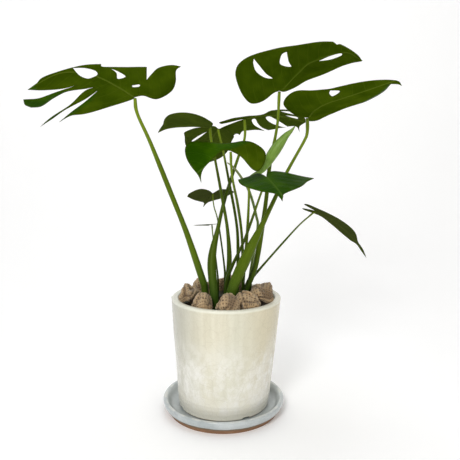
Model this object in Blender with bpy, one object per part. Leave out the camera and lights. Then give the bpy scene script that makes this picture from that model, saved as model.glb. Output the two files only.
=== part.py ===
"""Potted split-leaf plant in a glazed stoneware pot on a glazed saucer.

Metres, +Z up.  The origin is the middle of the saucer's flat underside.  -Y is the front of the
plant and +X is its right.  Leaf shapes are given in millimetres on the flattened leaf: along the
midrib from the stalk, and across it to the leaf's left as seen from above.
"""

import math

import bmesh
import bpy
from mathutils import Matrix, Vector
from mathutils.geometry import delaunay_2d_cdt, interpolate_bezier

MM = 0.001
GAP = 0.0004  # what two touching pieces leave between them

# Saucer
SAUCER_HEIGHT = 0.0215
SAUCER_FLOOR = 0.0100
SAUCER_WALL_REACH = 0.0150  # from the edge of the floor out to the rim
SAUCER_FOOT_INSET = 0.0090
TROUGH_WIDTH = 0.0094  # floor left round the pot for water

# Pot
POT_RIM_RADIUS = 0.0825
POT_BASE_RADIUS = 0.0693
POT_HEIGHT = 0.1697
POT_WALL = 0.0090
POT_LEAN = 0.0046  # how far the rim was pushed to the right as the pot dried
POT_BASE_THICKNESS = 0.0110
FOOT_RING_WIDTH = 0.0080
FOOT_RING_HEIGHT = 0.0045
DRAIN_RADIUS = 0.0080
NOTCH_WIDTH = 0.0110
NOTCH_HEIGHT = 0.0032
NOTCH_ANGLES = (72, 204, 299)

# What fills the pot
SOIL_BELOW_RIM = 0.0190
CROWN_RADIUS = 0.0360  # the stalks stand within this
WAD_FLAT = 0.72  # share of a wad's half height left under its middle

# Growth
BLADE_THICKNESS = 0.0011
BLADE_CELL = 13  # mm between the points inside a leaf
TIP_CLEARANCE = 0.0022  # a stalk stops this far under its leaf
ROUND_SIDES = 72
STALK_SIDES = 8

saucer_radius = POT_BASE_RADIUS + TROUGH_WIDTH + SAUCER_WALL_REACH
pot_bottom = SAUCER_FLOOR + GAP
rim_top = pot_bottom + POT_HEIGHT
soil_top = rim_top - SOIL_BELOW_RIM


def pot_outer_radius(height):
    """The pot's outside radius at a height above its underside."""
    return POT_BASE_RADIUS + (POT_RIM_RADIUS - POT_BASE_RADIUS) * height / POT_HEIGHT


def leaned(piece):
    """Shears a piece of the pot, or what stands in it, by the pot's lean."""
    for vert in piece.data.vertices:
        vert.co.x += POT_LEAN * (vert.co.z - pot_bottom) / POT_HEIGHT
    return piece


def material(name, colour, roughness):
    made = bpy.data.materials.new(name)
    made.use_nodes = True
    shader = made.node_tree.nodes["Principled BSDF"]
    shader.inputs["Base Color"].default_value = (*colour, 1)
    shader.inputs["Roughness"].default_value = roughness
    shader.inputs["Metallic"].default_value = 0
    made.diffuse_color = (*colour, 1)
    return made


def finish(mesh, name, made_of, sharp=40):
    """Turns a bmesh into a named, smooth-shaded object."""
    bmesh.ops.recalc_face_normals(mesh, faces=mesh.faces)
    data = bpy.data.meshes.new(name)
    mesh.to_mesh(data)
    mesh.free()
    data.materials.append(made_of)
    data.shade_smooth()
    data.set_sharp_from_angle(angle=math.radians(sharp))
    piece = bpy.data.objects.new(name, data)
    bpy.context.scene.collection.objects.link(piece)
    return piece


def turned(name, profile, made_of, sides=ROUND_SIDES):
    """A closed solid turned about Z from (radius, height) points; a radius of 0 is on the axis."""
    mesh = bmesh.new()
    rings = []
    for radius, height in profile:
        if radius == 0:
            rings.append([mesh.verts.new((0, 0, height))])
            continue
        turn = [2 * math.pi * k / sides for k in range(sides)]
        rings.append(
            [mesh.verts.new((radius * math.cos(a), radius * math.sin(a), height)) for a in turn]
        )
    closed = profile[0][0] != 0
    pairs = list(zip(rings, rings[1:])) + ([(rings[-1], rings[0])] if closed else [])
    for low, high in pairs:
        for k in range(sides):
            corners = [low[k % len(low)], low[(k + 1) % len(low)]]
            corners += [high[(k + 1) % len(high)], high[k % len(high)]]
            corners = list(dict.fromkeys(corners))
            mesh.faces.new(corners)
    return finish(mesh, name, made_of)


# ---------------------------------------------------------------- saucer and pot


def saucer(made_of):
    r, h, floor = saucer_radius, SAUCER_HEIGHT, SAUCER_FLOOR
    foot = r - SAUCER_FOOT_INSET
    profile = [
        (0, 0),
        (foot - 0.0010, 0),
        (foot, 0.0010),
        (foot + 0.0012, 0.0045),
        (r - 0.0036, 0.0085),
        (r - 0.0010, 0.0125),
        (r, h - 0.0050),
        (r - 0.0008, h - 0.0018),
        (r - 0.0032, h),
        (r - 0.0062, h - 0.0006),
        (r - 0.0088, h - 0.0036),
        (r - 0.0110, floor + 0.0030),
        (r - SAUCER_WALL_REACH, floor),
        (0, floor),
    ]
    return turned("saucer", profile, made_of)


def pot(made_of):
    base, rim = POT_BASE_RADIUS, POT_RIM_RADIUS
    bottom, top = pot_bottom, rim_top
    ring_inner = base - FOOT_RING_WIDTH
    floor = bottom + POT_BASE_THICKNESS
    profile = [
        (base - 0.0020, bottom),
        (base, bottom + 0.0016),
        (pot_outer_radius(0.010) - 0.0004, bottom + 0.0100),
        (pot_outer_radius(0.014) + 0.0004, bottom + 0.0140),
        (pot_outer_radius(POT_HEIGHT / 2) + 0.0006, bottom + POT_HEIGHT / 2),
        (rim - 0.0004, top - 0.0080),
        (rim, top - 0.0030),
        (rim - 0.0022, top),
        (rim - POT_WALL + 0.0024, top),
        (rim - POT_WALL, top - 0.0024),
        (pot_outer_radius(0.020) - POT_WALL, floor + 0.0060),
        (pot_outer_radius(0.014) - POT_WALL - 0.0060, floor),
        (DRAIN_RADIUS, floor),
        (DRAIN_RADIUS, bottom + FOOT_RING_HEIGHT),
        (ring_inner, bottom + FOOT_RING_HEIGHT),
        (ring_inner + 0.0004, bottom),
    ]
    body = leaned(turned("pot", profile, made_of))
    for number, angle in enumerate(NOTCH_ANGLES):
        turn = math.radians(angle)
        bpy.ops.mesh.primitive_cube_add(size=1)
        cutter = bpy.context.active_object
        cutter.name = f"notch_cutter_{number + 1}"
        cutter.scale = (4 * FOOT_RING_WIDTH, NOTCH_WIDTH, 2 * NOTCH_HEIGHT)
        cutter.rotation_euler = (0, 0, turn)
        cutter.location = (base * math.cos(turn), base * math.sin(turn), bottom)
        cutter.hide_render = True
        cutter.display_type = "WIRE"
        cut = body.modifiers.new(f"notch_{number + 1}", "BOOLEAN")
        cut.operation = "DIFFERENCE"
        cut.solver = "EXACT"
        cut.object = cutter
    return body


def soil(made_of):
    """The potting mix, from the pot's floor to just under the top dressing."""
    inner = POT_WALL + GAP
    low = pot_bottom + POT_BASE_THICKNESS + GAP
    profile = [
        (0, low),
        (pot_outer_radius(0.014) - inner - 0.0070, low),
        (pot_outer_radius(0.022) - inner - 0.0010, low + 0.0090),
        (pot_outer_radius(soil_top - pot_bottom) - inner - 0.0008, soil_top - 0.0010),
        (0, soil_top),
    ]
    return leaned(turned("potting_soil", profile, made_of, sides=48))


def wad(name, angle, inset, width, depth, height, made_of):
    """A crumpled ball of sacking pushed into the mouth of the pot, against its wall."""
    mouth = POT_RIM_RADIUS - POT_WALL
    half = Vector((depth * (mouth - CROWN_RADIUS), width * mouth, height * MM))
    mesh = bmesh.new()
    bmesh.ops.create_icosphere(mesh, subdivisions=2, radius=1)
    phase = math.radians(angle)
    for vert in mesh.verts:
        x, y, z = vert.co
        swell = 1 + 0.07 * math.sin(4 * x + 3 * z + phase) + 0.06 * math.sin(5 * y - 3 * x + 2 * phase)
        vert.co = Vector((x * half.x, y * half.y, z * half.z)) * swell
        vert.co.z = max(vert.co.z, -WAD_FLAT * half.z)
    low = min(vert.co.z for vert in mesh.verts)
    centre = (mouth - inset * MM - half.x, 0, soil_top + GAP - low)
    bmesh.ops.translate(mesh, vec=centre, verts=mesh.verts)
    bmesh.ops.rotate(mesh, matrix=Matrix.Rotation(phase, 3, "Z"), verts=mesh.verts)
    return leaned(finish(mesh, name, made_of))


# ---------------------------------------------------------------- stalks


def smooth_path(points, steps):
    """Points of a smooth curve through the given points, with steps between each two."""
    points = [Vector(point) for point in points]
    before = points[0] * 2 - points[1]
    after = points[-1] * 2 - points[-2]
    chain = [before, *points, after]
    path = []
    for a, b, c, d in zip(chain, chain[1:], chain[2:], chain[3:]):
        path += interpolate_bezier(b, b + (c - a) / 6, c - (d - b) / 6, c, steps + 1)[:-1]
    return path + [points[-1]]


def stalk(name, route, made_of, flatten=1.0, steps=3):
    """A round tapering stem; route holds (x, y, z, radius) in millimetres, from soil to leaf."""
    centres = smooth_path([point[:3] for point in route], steps)
    widths = smooth_path([(point[3], 0, 0) for point in route], steps)
    mesh = bmesh.new()
    rings = []
    across = Vector((1, 0, 0))
    for k, (centre, width) in enumerate(zip(centres, widths)):
        ahead = centres[min(k + 1, len(centres) - 1)] - centres[max(k - 1, 0)]
        ahead.normalize()
        if k == 0:
            ahead = Vector((0, 0, 1))
        across = (across - ahead * across.dot(ahead)).normalized()
        other = ahead.cross(across)
        ring = []
        for side in range(STALK_SIDES):
            angle = 2 * math.pi * side / STALK_SIDES
            reach = across * math.cos(angle) + other * math.sin(angle) * flatten
            ring.append(mesh.verts.new((centre + reach * width.x) * MM))
        rings.append(ring)
    for low, high in zip(rings, rings[1:]):
        for k in range(STALK_SIDES):
            after = (k + 1) % STALK_SIDES
            mesh.faces.new((low[k], low[after], high[after], high[k]))
    mesh.faces.new(rings[0][::-1])
    mesh.faces.new(rings[-1])
    return finish(mesh, name, made_of, sharp=60)


# ---------------------------------------------------------------- leaves


def bent(length, rate):
    """Forward and upward distance along a strip that starts level and turns at a steady rate."""
    if abs(rate) < 1e-6:
        return length, 0
    return math.sin(rate * length) / rate, (1 - math.cos(rate * length)) / rate


def leaf_point(pose, along, across):
    """Where a point of the flat leaf lies once the leaf is bent and placed, in millimetres."""
    heading, pitch, roll = (math.radians(pose[key]) for key in ("heading", "pitch", "roll"))
    ahead = Vector(
        (math.cos(pitch) * math.cos(heading), math.cos(pitch) * math.sin(heading), math.sin(pitch))
    )
    level = Vector((-math.sin(heading), math.cos(heading), 0))
    lift = ahead.cross(level)
    left = level * math.cos(roll) + lift * math.sin(roll)
    up = lift * math.cos(roll) - level * math.sin(roll)
    droop = math.radians(pose["droop"] if along >= 0 else pose["base"]) / 100
    forward, fall = bent(along, -droop)
    turned_up = ahead * math.sin(droop * along) + up * math.cos(droop * along)
    fold = math.radians(pose["fold_left"] if across >= 0 else pose["fold_right"])
    root = Vector(pose["at"]) + Vector((0, 0, soil_top / MM))
    middle = ahead * forward + up * fall
    return root + middle + left * across * math.cos(fold) + turned_up * abs(across) * math.sin(fold)


def outline_points(strokes, steps=2):
    """The closed outline of a leaf or hole from its strokes, which meet at sharp corners."""
    points = []
    for stroke in strokes:
        path = smooth_path([(*point, 0) for point in stroke], steps)
        points += [point.to_2d() for point in path[:-1]]
    return points


def inside(point, polygon):
    odd = False
    for a, b in zip(polygon, polygon[1:] + polygon[:1]):
        if (a.y > point.y) != (b.y > point.y):
            if point.x < (b.x - a.x) * (point.y - a.y) / (b.y - a.y) + a.x:
                odd = not odd
    return odd


def near_edge(point, polygon, margin):
    for a, b in zip(polygon, polygon[1:] + polygon[:1]):
        edge = b - a
        share = max(0, min(1, (point - a).dot(edge) / max(edge.length_squared, 1e-9)))
        if (a + edge * share - point).length < margin:
            return True
    return False


def flat_leaf(outline, holes, cell):
    """Triangles that fill the outline outside the holes, with a grid of points inside."""
    loops = [outline, *holes]
    points = [point for loop in loops for point in loop]
    edges = []
    first = 0
    for loop in loops:
        edges += [(first + k, first + (k + 1) % len(loop)) for k in range(len(loop))]
        first += len(loop)
    low = [min(point[axis] for point in outline) for axis in (0, 1)]
    high = [max(point[axis] for point in outline) for axis in (0, 1)]
    rows, columns = [int((high[axis] - low[axis]) / cell) + 1 for axis in (0, 1)]
    for row in range(rows):
        for column in range(columns):
            spot = Vector((low[0] + (row + 0.5) * cell, low[1] + (column + 0.5) * cell))
            clear = not any(near_edge(spot, loop, 0.4 * cell) for loop in loops)
            if clear and inside(spot, outline) and not any(inside(spot, hole) for hole in holes):
                points.append(spot)
    points, _, faces, _, _, _ = delaunay_2d_cdt(points, edges, [], 0, 1e-4)
    kept = []
    for face in faces:
        middle = sum((points[k] for k in face), Vector((0, 0))) / 3
        if inside(middle, outline) and not any(inside(middle, hole) for hole in holes):
            kept.append(face)
    return points, kept


def leaf(name, pose, strokes, made_of, holes=()):
    """A thin closed leaf blade."""
    outline = outline_points(strokes)
    cuts = [outline_points([[*hole, hole[0]]], 1) for hole in holes]
    points, faces = flat_leaf(outline, cuts, BLADE_CELL)
    used = sorted({k for face in faces for k in face})
    mesh = bmesh.new()
    upper, lower = {}, {}
    for k in used:
        along, across = points[k]
        here = leaf_point(pose, along, across)
        ahead = leaf_point(pose, along + 0.5, across) - here
        aside = leaf_point(pose, along, across + 0.5) - here
        normal = ahead.cross(aside).normalized() * BLADE_THICKNESS / 2
        upper[k] = mesh.verts.new(here * MM + normal)
        lower[k] = mesh.verts.new(here * MM - normal)
    borders = set()
    for face in faces:
        mesh.faces.new([upper[k] for k in face])
        mesh.faces.new([lower[k] for k in reversed(face)])
        for a, b in zip(face, face[1:] + face[:1]):
            borders.add((a, b))
    for a, b in sorted(borders):
        if (b, a) not in borders:
            mesh.faces.new((upper[b], upper[a], lower[a], lower[b]))
    return finish(mesh, name, made_of, sharp=60)


LEAVES = {
    "upper_left": dict(
        pose=dict(
            at=(-125, -10, 312), heading=208, pitch=22, roll=26, droop=18, base=-20,
            fold_left=4, fold_right=-12,
        ),
        strokes=[
            [(0, 0), (2, -8), (23, -37), (48, -65), (67, -77), (79, -96)],
            [(79, -96), (70, -71), (59, -44), (50, -12)],
            [(50, -12), (61, -39), (79, -67), (91, -91), (103, -112)],
            [(103, -112), (93, -86), (76, -55), (67, -22), (57, -9)],
            [(57, -9), (69, -18), (89, -30), (101, -46), (114, -66), (128, -71)],
            [(128, -71), (138, -66), (143, -55)],
            [(143, -55), (121, -50), (99, -31), (80, -13)],
            [(80, -13), (97, -26), (119, -34), (142, -35)],
            [(142, -35), (133, -21)],
            [(133, -21), (129, -10), (114, 4), (99, 18), (84, 30), (67, 39)],
            [(67, 39), (62, 35), (38, 48), (14, 64)],
            [(14, 64), (3, 42)],
            [(3, 42), (3, 56), (1, 72), (-10, 87), (-22, 92)],
            [(-22, 92), (-21, 81), (-32, 61), (-37, 39), (-28, 14), (-9, 10), (0, 0)],
        ],
        holes=[
            [(97, 18), (83, 23), (69, 23), (63, 17), (66, 9), (72, 3), (84, 6)],
            [(52, 36), (42, 31), (36, 21), (29, 31), (40, 35)],
            [(14, 19), (7, 27), (5, 23), (11, 17)],
        ],
    ),
    "upper_right": dict(
        pose=dict(
            at=(84, 38, 325), heading=-28, pitch=38, roll=-4, droop=34, base=6,
            fold_left=6, fold_right=32,
        ),
        strokes=[
            [(0, 0), (-8, -5), (-25, -7), (-38, -15), (-42, -27), (-35, -51), (-18, -78)]
            + [(3, -83), (35, -67), (61, -54), (88, -47), (104, -42)],
            [(104, -42), (107, -36)],
            [(107, -36), (113, -35), (129, -16), (134, -1)],
            [(134, -1), (107, 19), (84, 45), (55, 58), (32, 42), (15, 38), (2, 18), (0, 0)],
        ],
        holes=[
            [(11, -73), (6, -67), (1, -54), (2, -37), (8, -27), (7, -40), (9, -57)],
            [(46, -51), (39, -51), (30, -41), (31, -33), (38, -25), (40, -35)],
            [(74, -13), (92, -17), (108, -19), (106, -14), (90, -10)],
        ],
    ),
    "right": dict(
        pose=dict(
            at=(120, -22, 283), heading=-45, pitch=16, roll=-9, droop=4, base=0,
            fold_left=12, fold_right=5,
        ),
        strokes=[
            [(0, 0), (-5, -16), (-2, -38), (8, -61), (27, -76), (47, -80), (61, -66), (77, -55)]
            + [(91, -52), (111, -47), (131, -40), (144, -31), (151, -23)],
            [(151, -23), (152, -16), (148, -4)],
            [(148, -4), (147, -11), (141, -17)],
            [(141, -17), (118, 2), (77, 28), (42, 28), (20, 33), (1, 36), (-14, 38)]
            + [(-14, 20), (0, 0)],
        ],
        holes=[[(76, -50), (84, -42), (77, -36), (67, -34), (70, -44)]],
    ),
    "back_split": dict(
        pose=dict(
            at=(33, 75, 285), heading=0, pitch=16, roll=-19, droop=43, base=-10,
            fold_left=-2, fold_right=10,
        ),
        strokes=[
            [(0, 0), (-12, -2), (-26, -2), (-38, -3)],
            [(-38, -3), (-40, -9), (-30, -11), (-17, -12), (-4, -9), (8, -6), (18, -3), (30, -4)]
            + [(40, -13), (50, -17), (64, -21), (76, -24), (88, -21), (96, -12), (98, -2)],
            [(98, -2), (93, 10), (89, 24), (90, 47)],
            [(90, 47), (86, 30), (80, 28), (69, 38)],
            [(69, 38), (56, 22), (48, 13), (40, 4), (34, 7), (35, 17), (40, 28), (48, 37), (58, 43)]
            + [(66, 43)],
            [(66, 43), (56, 50), (47, 57), (36, 63)],
            [(36, 63), (26, 48), (20, 29), (17, 10), (12, 8), (11, 16), (14, 34), (22, 51), (30, 66)],
            [(30, 66), (16, 56), (2, 51), (-5, 46)],
            [(-5, 46), (-9, 50), (-13, 60)],
            [(-13, 60), (-18, 51), (-28, 56), (-44, 38), (-42, 14), (-22, 4), (0, 0)],
        ],
        holes=[
            [(56, -14), (66, -17), (76, -18), (86, -18), (84, -14), (75, -12), (65, -12)],
            [(64, -4), (74, -2), (84, -3), (83, -8), (72, -6)],
        ],
    ),
    "left": dict(
        pose=dict(
            at=(-19, -4, 270), heading=170, pitch=11, roll=9, droop=37, base=-8,
            fold_left=9, fold_right=8,
        ),
        strokes=[
            [(0, 0), (-4, -14), (14, -26), (40, -24), (54, -13), (68, -9), (84, -23)],
            [(84, -23), (76, 0), (65, 18), (58, 35), (47, 49), (30, 55), (14, 51), (-1, 38)]
            + [(-8, 22), (0, 0)],
        ],
    ),
    "left_back": dict(
        pose=dict(
            at=(-8, 40, 269), heading=109, pitch=-20, roll=8, droop=40, base=9,
            fold_left=-12, fold_right=-14,
        ),
        strokes=[
            [(0, 0), (-10, 11), (-6, 28), (-3, 40), (10, 51), (26, 47), (50, 40), (76, 24)]
            + [(91, -4)],
            [(91, -4), (73, -24), (50, -32), (23, -30)],
            [(23, -30), (6, -28), (-4, -14), (0, 0)],
        ],
        holes=[[(11, 14), (26, 20), (40, 29), (38, 32), (24, 25)]],
    ),
    "front_left": dict(
        pose=dict(
            at=(11, -46, 237), heading=200, pitch=-25, roll=-40, droop=35, base=60,
            fold_left=0, fold_right=0,
        ),
        strokes=[
            [(0, 0), (9, -7), (29, -3), (45, 1), (54, 8), (60, 18)],
            [(60, 18), (57, 4), (57, -17), (54, -36), (46, -50), (34, -50), (18, -35)]
            + [(2, -19), (-12, -12), (-26, -9), (-37, -3), (-44, 10), (-43, 23), (-35, 35)]
            + [(-25, 45), (-12, 52), (-6, 44), (-6, 18), (0, 0)],
        ],
    ),
    "front_right": dict(
        pose=dict(
            at=(60, -58, 202), heading=-76, pitch=-14, roll=2, droop=8, base=-5,
            fold_left=0, fold_right=-2,
        ),
        strokes=[
            [(0, 0), (-10, -2), (-18, -7), (-14, -15), (-8, -24), (2, -41)],
            [(2, -41), (18, -42), (33, -37), (49, -24), (60, -8), (72, -5), (84, -5)],
            [(84, -5), (72, 0), (62, 6), (44, 34), (27, 49), (16, 63)],
            [(16, 63), (6, 52), (-6, 41), (-20, 26), (-23, 15), (-12, 4), (0, 0)],
        ],
    ),
    "small_left": dict(
        pose=dict(
            at=(-17, 45, 170), heading=107, pitch=-25, roll=-1, droop=3, base=-1,
            fold_left=4, fold_right=5,
        ),
        strokes=[
            [(0, 0), (-12, 8), (-19, 20), (-14, 29), (2, 37), (17, 37)],
            [(17, 37), (29, 25), (37, 12), (44, 4), (65, 1)],
            [(65, 1), (44, -2), (37, -9), (29, -24), (6, -38)],
            [(6, -38), (-9, -25), (-15, -8), (0, 0)],
        ],
    ),
    "tiny_left": dict(
        pose=dict(
            at=(-18, 34, 123), heading=180, pitch=-3, roll=8, droop=0, base=30,
            fold_left=0, fold_right=0,
        ),
        strokes=[
            [(0, 0), (-8, -6), (-9, -12), (4, -14), (18, -8), (30, 0)],
            [(30, 0), (18, 8), (4, 14), (-9, 12), (-8, 6), (0, 0)],
        ],
    ),
    "low_right": dict(
        pose=dict(
            at=(138, 8, 147), heading=-8, pitch=-22, roll=-22, droop=40, base=20,
            fold_left=0, fold_right=0,
        ),
        strokes=[
            [(0, 0), (-10, -5), (-20, -12), (-14, -19), (2, -17), (20, -19), (40, -25), (58, -29)]
            + [(68, -24), (78, -8), (90, -7), (104, 0)],
            [(104, 0), (92, 5), (79, 6), (68, 19), (50, 24), (30, 22), (12, 15), (2, 16), (-14, 18)]
            + [(-19, 12), (-10, 5), (0, 0)],
        ],
    ),
}

# Each stalk from the soil to its leaf: x, y, height above the soil, and radius.
STALKS = {
    "upper_left": [
        (-28, -11, 0, 5.4), (-28, -13, 34, 5.4), (-32, -16, 50, 5.1), (-53, -18, 117, 4.1),
        (-78, -16, 182, 3.6), (-104, -13, 248, 2.9), (-122, -11, 289, 2.3), (-125, -10, 310, 2.2),
    ],
    "upper_right": [
        (31, -6, 0, 4.6), (35, -5, 30, 4.6), (48, 0, 64, 4.2), (60, 10, 132, 3.6),
        (65, 16, 169, 3.2), (70, 22, 216, 2.8), (81, 31, 274, 2.2), (84, 38, 323, 2.1),
    ],
    "right": [
        (8, -34, 0, 6.8), (14, -34, 38, 7.6), (37, -31, 91, 7.2), (60, -30, 140, 3.8),
        (77, -28, 176, 2.8), (92, -26, 209, 2.4), (114, -24, 249, 2.2), (119, -22, 262, 2.2),
        (119, -22, 282, 2.1),
    ],
    "back_split": [
        (-11, -27, 0, 5.4), (-14, -24, 31, 6.4), (-17, -8, 76, 6.2), (-8, 8, 121, 3.4),
        (1, 22, 159, 2.8), (13, 36, 197, 2.5), (23, 50, 226, 2.3), (33, 65, 255, 2.1),
        (33, 75, 283, 2.0),
    ],
    "left": [
        (4, 6, 0, 4.4), (6, 5, 34, 4.2), (9, 4, 75, 3.6), (6, 2, 122, 2.6), (-2, 0, 170, 2.2),
        (-12, -2, 225, 1.9), (-17, -3, 251, 1.8), (-19, -4, 269, 1.8),
    ],
    "left_back": [
        (20, 16, 0, 2.8), (22, 15, 35, 2.7), (22, 15, 102, 2.4), (18, 15, 140, 2.2),
        (9, 17, 188, 2.0), (1, 23, 230, 1.8), (-4, 31, 251, 1.7), (-8, 37, 267, 1.6),
    ],
    "front_left": [
        (31, 7, 0, 2.6), (30, 7, 40, 2.5), (28, -7, 106, 2.2), (22, -21, 155, 2.0),
        (13, -36, 202, 1.8), (11, -46, 235, 1.7),
    ],
    "front_right": [
        (2, -13, 0, 2.8), (5, -13, 43, 2.7), (14, -17, 70, 2.4), (32, -27, 112, 2.0),
        (53, -50, 179, 1.6), (60, -58, 201, 1.5),
    ],
    "unfurling": [
        (31, 26, 0, 2.8), (31, 24, 37, 2.7), (36, 10, 112, 2.2), (38, 0, 169, 1.9),
        (37, -3, 191, 1.9),
    ],
    "small_left": [
        (0, 22, 0, 1.8), (2, 23, 38, 1.7), (1, 27, 60, 1.6), (-8, 38, 124, 1.2),
        (-15, 43, 150, 1.0), (-17, 45, 169, 1.0),
    ],
    "tiny_left": [
        (-9, 32, 0, 1.6), (-9, 32, 39, 1.5), (-16, 33, 100, 1.1), (-18, 34, 122, 0.9),
    ],
    "low_right": [
        (41, 12, 0, 2.2), (42, 10, 38, 2.1), (49, 9, 50, 1.9), (107, 8, 118, 1.3),
        (130, 8, 140, 1.2), (137, 8, 146, 1.2),
    ],
}

# The new leaf, still rolled, and the dry sheath that held the last one.
ROLLED_LEAF = [
    (38, -4, 193, 2.2), (42, -5, 199, 3.4), (57, -6, 209, 4.2), (66, -7, 223, 7.0),
    (78, -8, 241, 7.6), (90, -9, 257, 4.6), (98, -10, 265, 2.4), (103, -10, 271, 0.7),
]
SHEATH = [
    (40, 34, 0, 2.2), (41, 30, 40, 2.1), (52, 24, 115, 2.0), (50, 22, 138, 2.0),
    (40, 16, 173, 2.0), (28, 13, 195, 1.9), (16, 11, 211, 1.6), (6, 10, 219, 0.8),
]

# Balls of sacking: angle round the pot, distance from its wall, half width round the wall as a share
# of the mouth's radius, half depth as a share of the ring between the stalks and the wall, height.
WADS = {
    "burlap_left": (187, 2.4, 0.345, 0.38, 23),
    "burlap_back_left": (134, 6.0, 0.285, 0.42, 23),
    "burlap_back": (86, 7.2, 0.292, 0.38, 22),
    "burlap_front_left": (236, 4.0, 0.225, 0.32, 20),
    "burlap_front": (271, 5.0, 0.235, 0.30, 21),
    "burlap_front_right": (305, 3.4, 0.200, 0.42, 22),
    "burlap_right": (347, 3.0, 0.310, 0.40, 24),
}


def planted(route):
    """A route raised to stand just clear of the soil."""
    return [(x, y, z + (soil_top + GAP) / MM, radius) for x, y, z, radius in route]


def shortened(route, by):
    """The route with its last point drawn back, so that the stalk stops under its leaf."""
    last, before = Vector(route[-1][:3]), Vector(route[-2][:3])
    end = last + (before - last).normalized() * by / MM
    return [*route[:-1], (*end, route[-1][3])]


def build():
    for old in list(bpy.data.objects):
        bpy.data.objects.remove(old, do_unlink=True)
    cream_glaze = material("cream_crackle_glaze", (0.80, 0.76, 0.62), 0.25)
    blue_glaze = material("blue_grey_glaze", (0.56, 0.66, 0.72), 0.20)
    dark_soil = material("potting_mix", (0.05, 0.03, 0.02), 0.95)
    sacking = material("burlap", (0.36, 0.25, 0.15), 0.95)
    leaf_green = material("leaf_green", (0.03, 0.10, 0.01), 0.30)
    new_green = material("new_leaf_green", (0.22, 0.42, 0.08), 0.40)
    stalk_green = material("stalk_green", (0.13, 0.26, 0.02), 0.35)
    dry_sheath = material("pale_sheath", (0.30, 0.42, 0.10), 0.50)

    saucer(blue_glaze)
    pot(cream_glaze)
    soil(dark_soil)
    for name, sizes in WADS.items():
        wad(name, *sizes, sacking)
    for name, route in STALKS.items():
        stalk(f"petiole_{name}", shortened(planted(route), TIP_CLEARANCE), stalk_green)
    stalk("leaf_unfurling", planted(ROLLED_LEAF), new_green)
    stalk("sheath_tip", planted(SHEATH), dry_sheath)
    for name, shape in LEAVES.items():
        leaf(f"leaf_{name}", shape["pose"], shape["strokes"], leaf_green, shape.get("holes", ()))


build()
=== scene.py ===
"""The looks of a potted split-leaf plant: a glazed stoneware pot and saucer, a top dressing of
crumpled sacking, and a young climbing plant with long stalks.  Metres, +Z up, -Y to the front."""

import math

import bpy
import numpy as np
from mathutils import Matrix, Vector, noise
from mathutils.geometry import delaunay_2d_cdt, interpolate_bezier


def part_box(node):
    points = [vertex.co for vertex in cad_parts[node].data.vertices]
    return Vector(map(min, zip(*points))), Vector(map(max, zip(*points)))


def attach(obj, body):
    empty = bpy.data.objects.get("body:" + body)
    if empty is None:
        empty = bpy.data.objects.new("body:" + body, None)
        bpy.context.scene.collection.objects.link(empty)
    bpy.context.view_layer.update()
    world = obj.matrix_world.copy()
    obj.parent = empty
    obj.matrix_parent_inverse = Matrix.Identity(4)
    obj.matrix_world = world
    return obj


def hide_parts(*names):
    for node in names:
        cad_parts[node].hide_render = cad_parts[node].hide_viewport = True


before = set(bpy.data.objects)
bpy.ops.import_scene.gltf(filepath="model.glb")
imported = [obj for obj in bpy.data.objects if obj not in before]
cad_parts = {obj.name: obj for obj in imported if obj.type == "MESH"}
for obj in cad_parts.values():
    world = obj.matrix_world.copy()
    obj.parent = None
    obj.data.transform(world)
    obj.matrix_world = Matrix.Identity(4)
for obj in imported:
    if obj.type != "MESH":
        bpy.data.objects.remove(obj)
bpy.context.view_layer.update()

# ---------------------------------------------------------------- Saucer
# A shallow thrown stoneware dish with a fat rolled rim.  It was dipped in a pale blue-grey glaze
# that pools darker inside, and its foot was wiped back to the bare red clay.


def smooth_line(points, steps):
    """Points of a smooth curve through the given points, with steps between each two."""
    points = [Vector(point) for point in points]
    chain = [points[0] * 2 - points[1], *points, points[-1] * 2 - points[-2]]
    line = []
    for a, b, c, d in zip(chain, chain[1:], chain[2:], chain[3:]):
        line += interpolate_bezier(b, b + (c - a) / 6, c - (d - b) / 6, c, steps + 1)[:-1]
    return np.array([tuple(point) for point in line + [points[-1]]])


def placed(name, data):
    """A new object in the scene."""
    made = bpy.data.objects.new(name, data)
    bpy.context.scene.collection.objects.link(made)
    return made


def new_piece(name, points, faces, material, slot, *nodes, uv=None, **marks):
    """A smooth-shaded mesh object that stands for CAD nodes, with per-point marks for its shader."""
    data = bpy.data.meshes.new(name)
    data.from_pydata([tuple(point) for point in points], [], [tuple(face) for face in faces])
    data.materials.append(material)
    data.shade_smooth()
    for mark, values in marks.items():
        data.attributes.new(mark, "FLOAT", "POINT").data.foreach_set("value", np.asarray(values, float))
    if uv is not None:
        corner = np.zeros(len(data.loops), np.int32)
        data.loops.foreach_get("vertex_index", corner)
        flat = np.asarray(uv, float)[corner]
        data.uv_layers.new(name="flat").data.foreach_set("uv", flat.ravel())
    piece = placed(name, data)
    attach(piece, "root")
    if nodes:
        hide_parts(*nodes)
    return piece


def wrapped(rows, sides):
    """The faces between rows of points that go round, as a pot's do."""
    faces = []
    for row in range(rows - 1):
        low, high = row * sides, (row + 1) * sides
        for side in range(sides):
            after = (side + 1) % sides
            faces.append((low + side, low + after, high + after, high + side))
    return faces


def thrown(line, sides, shift):
    """Points and faces of a shape thrown on the wheel; shift moves the (angle, radius, height) grid."""
    angle = np.arange(sides) * 2 * math.pi / sides
    radius, height = (np.repeat(line[:, k][:, None], sides, 1) for k in (0, 1))
    turn = np.repeat(angle[None, :], len(line), 0)
    radius, height = shift(turn, radius, height)
    points = np.stack([radius * np.cos(turn), radius * np.sin(turn), height], -1).reshape(-1, 3)
    return points, wrapped(len(line), sides)


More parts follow.
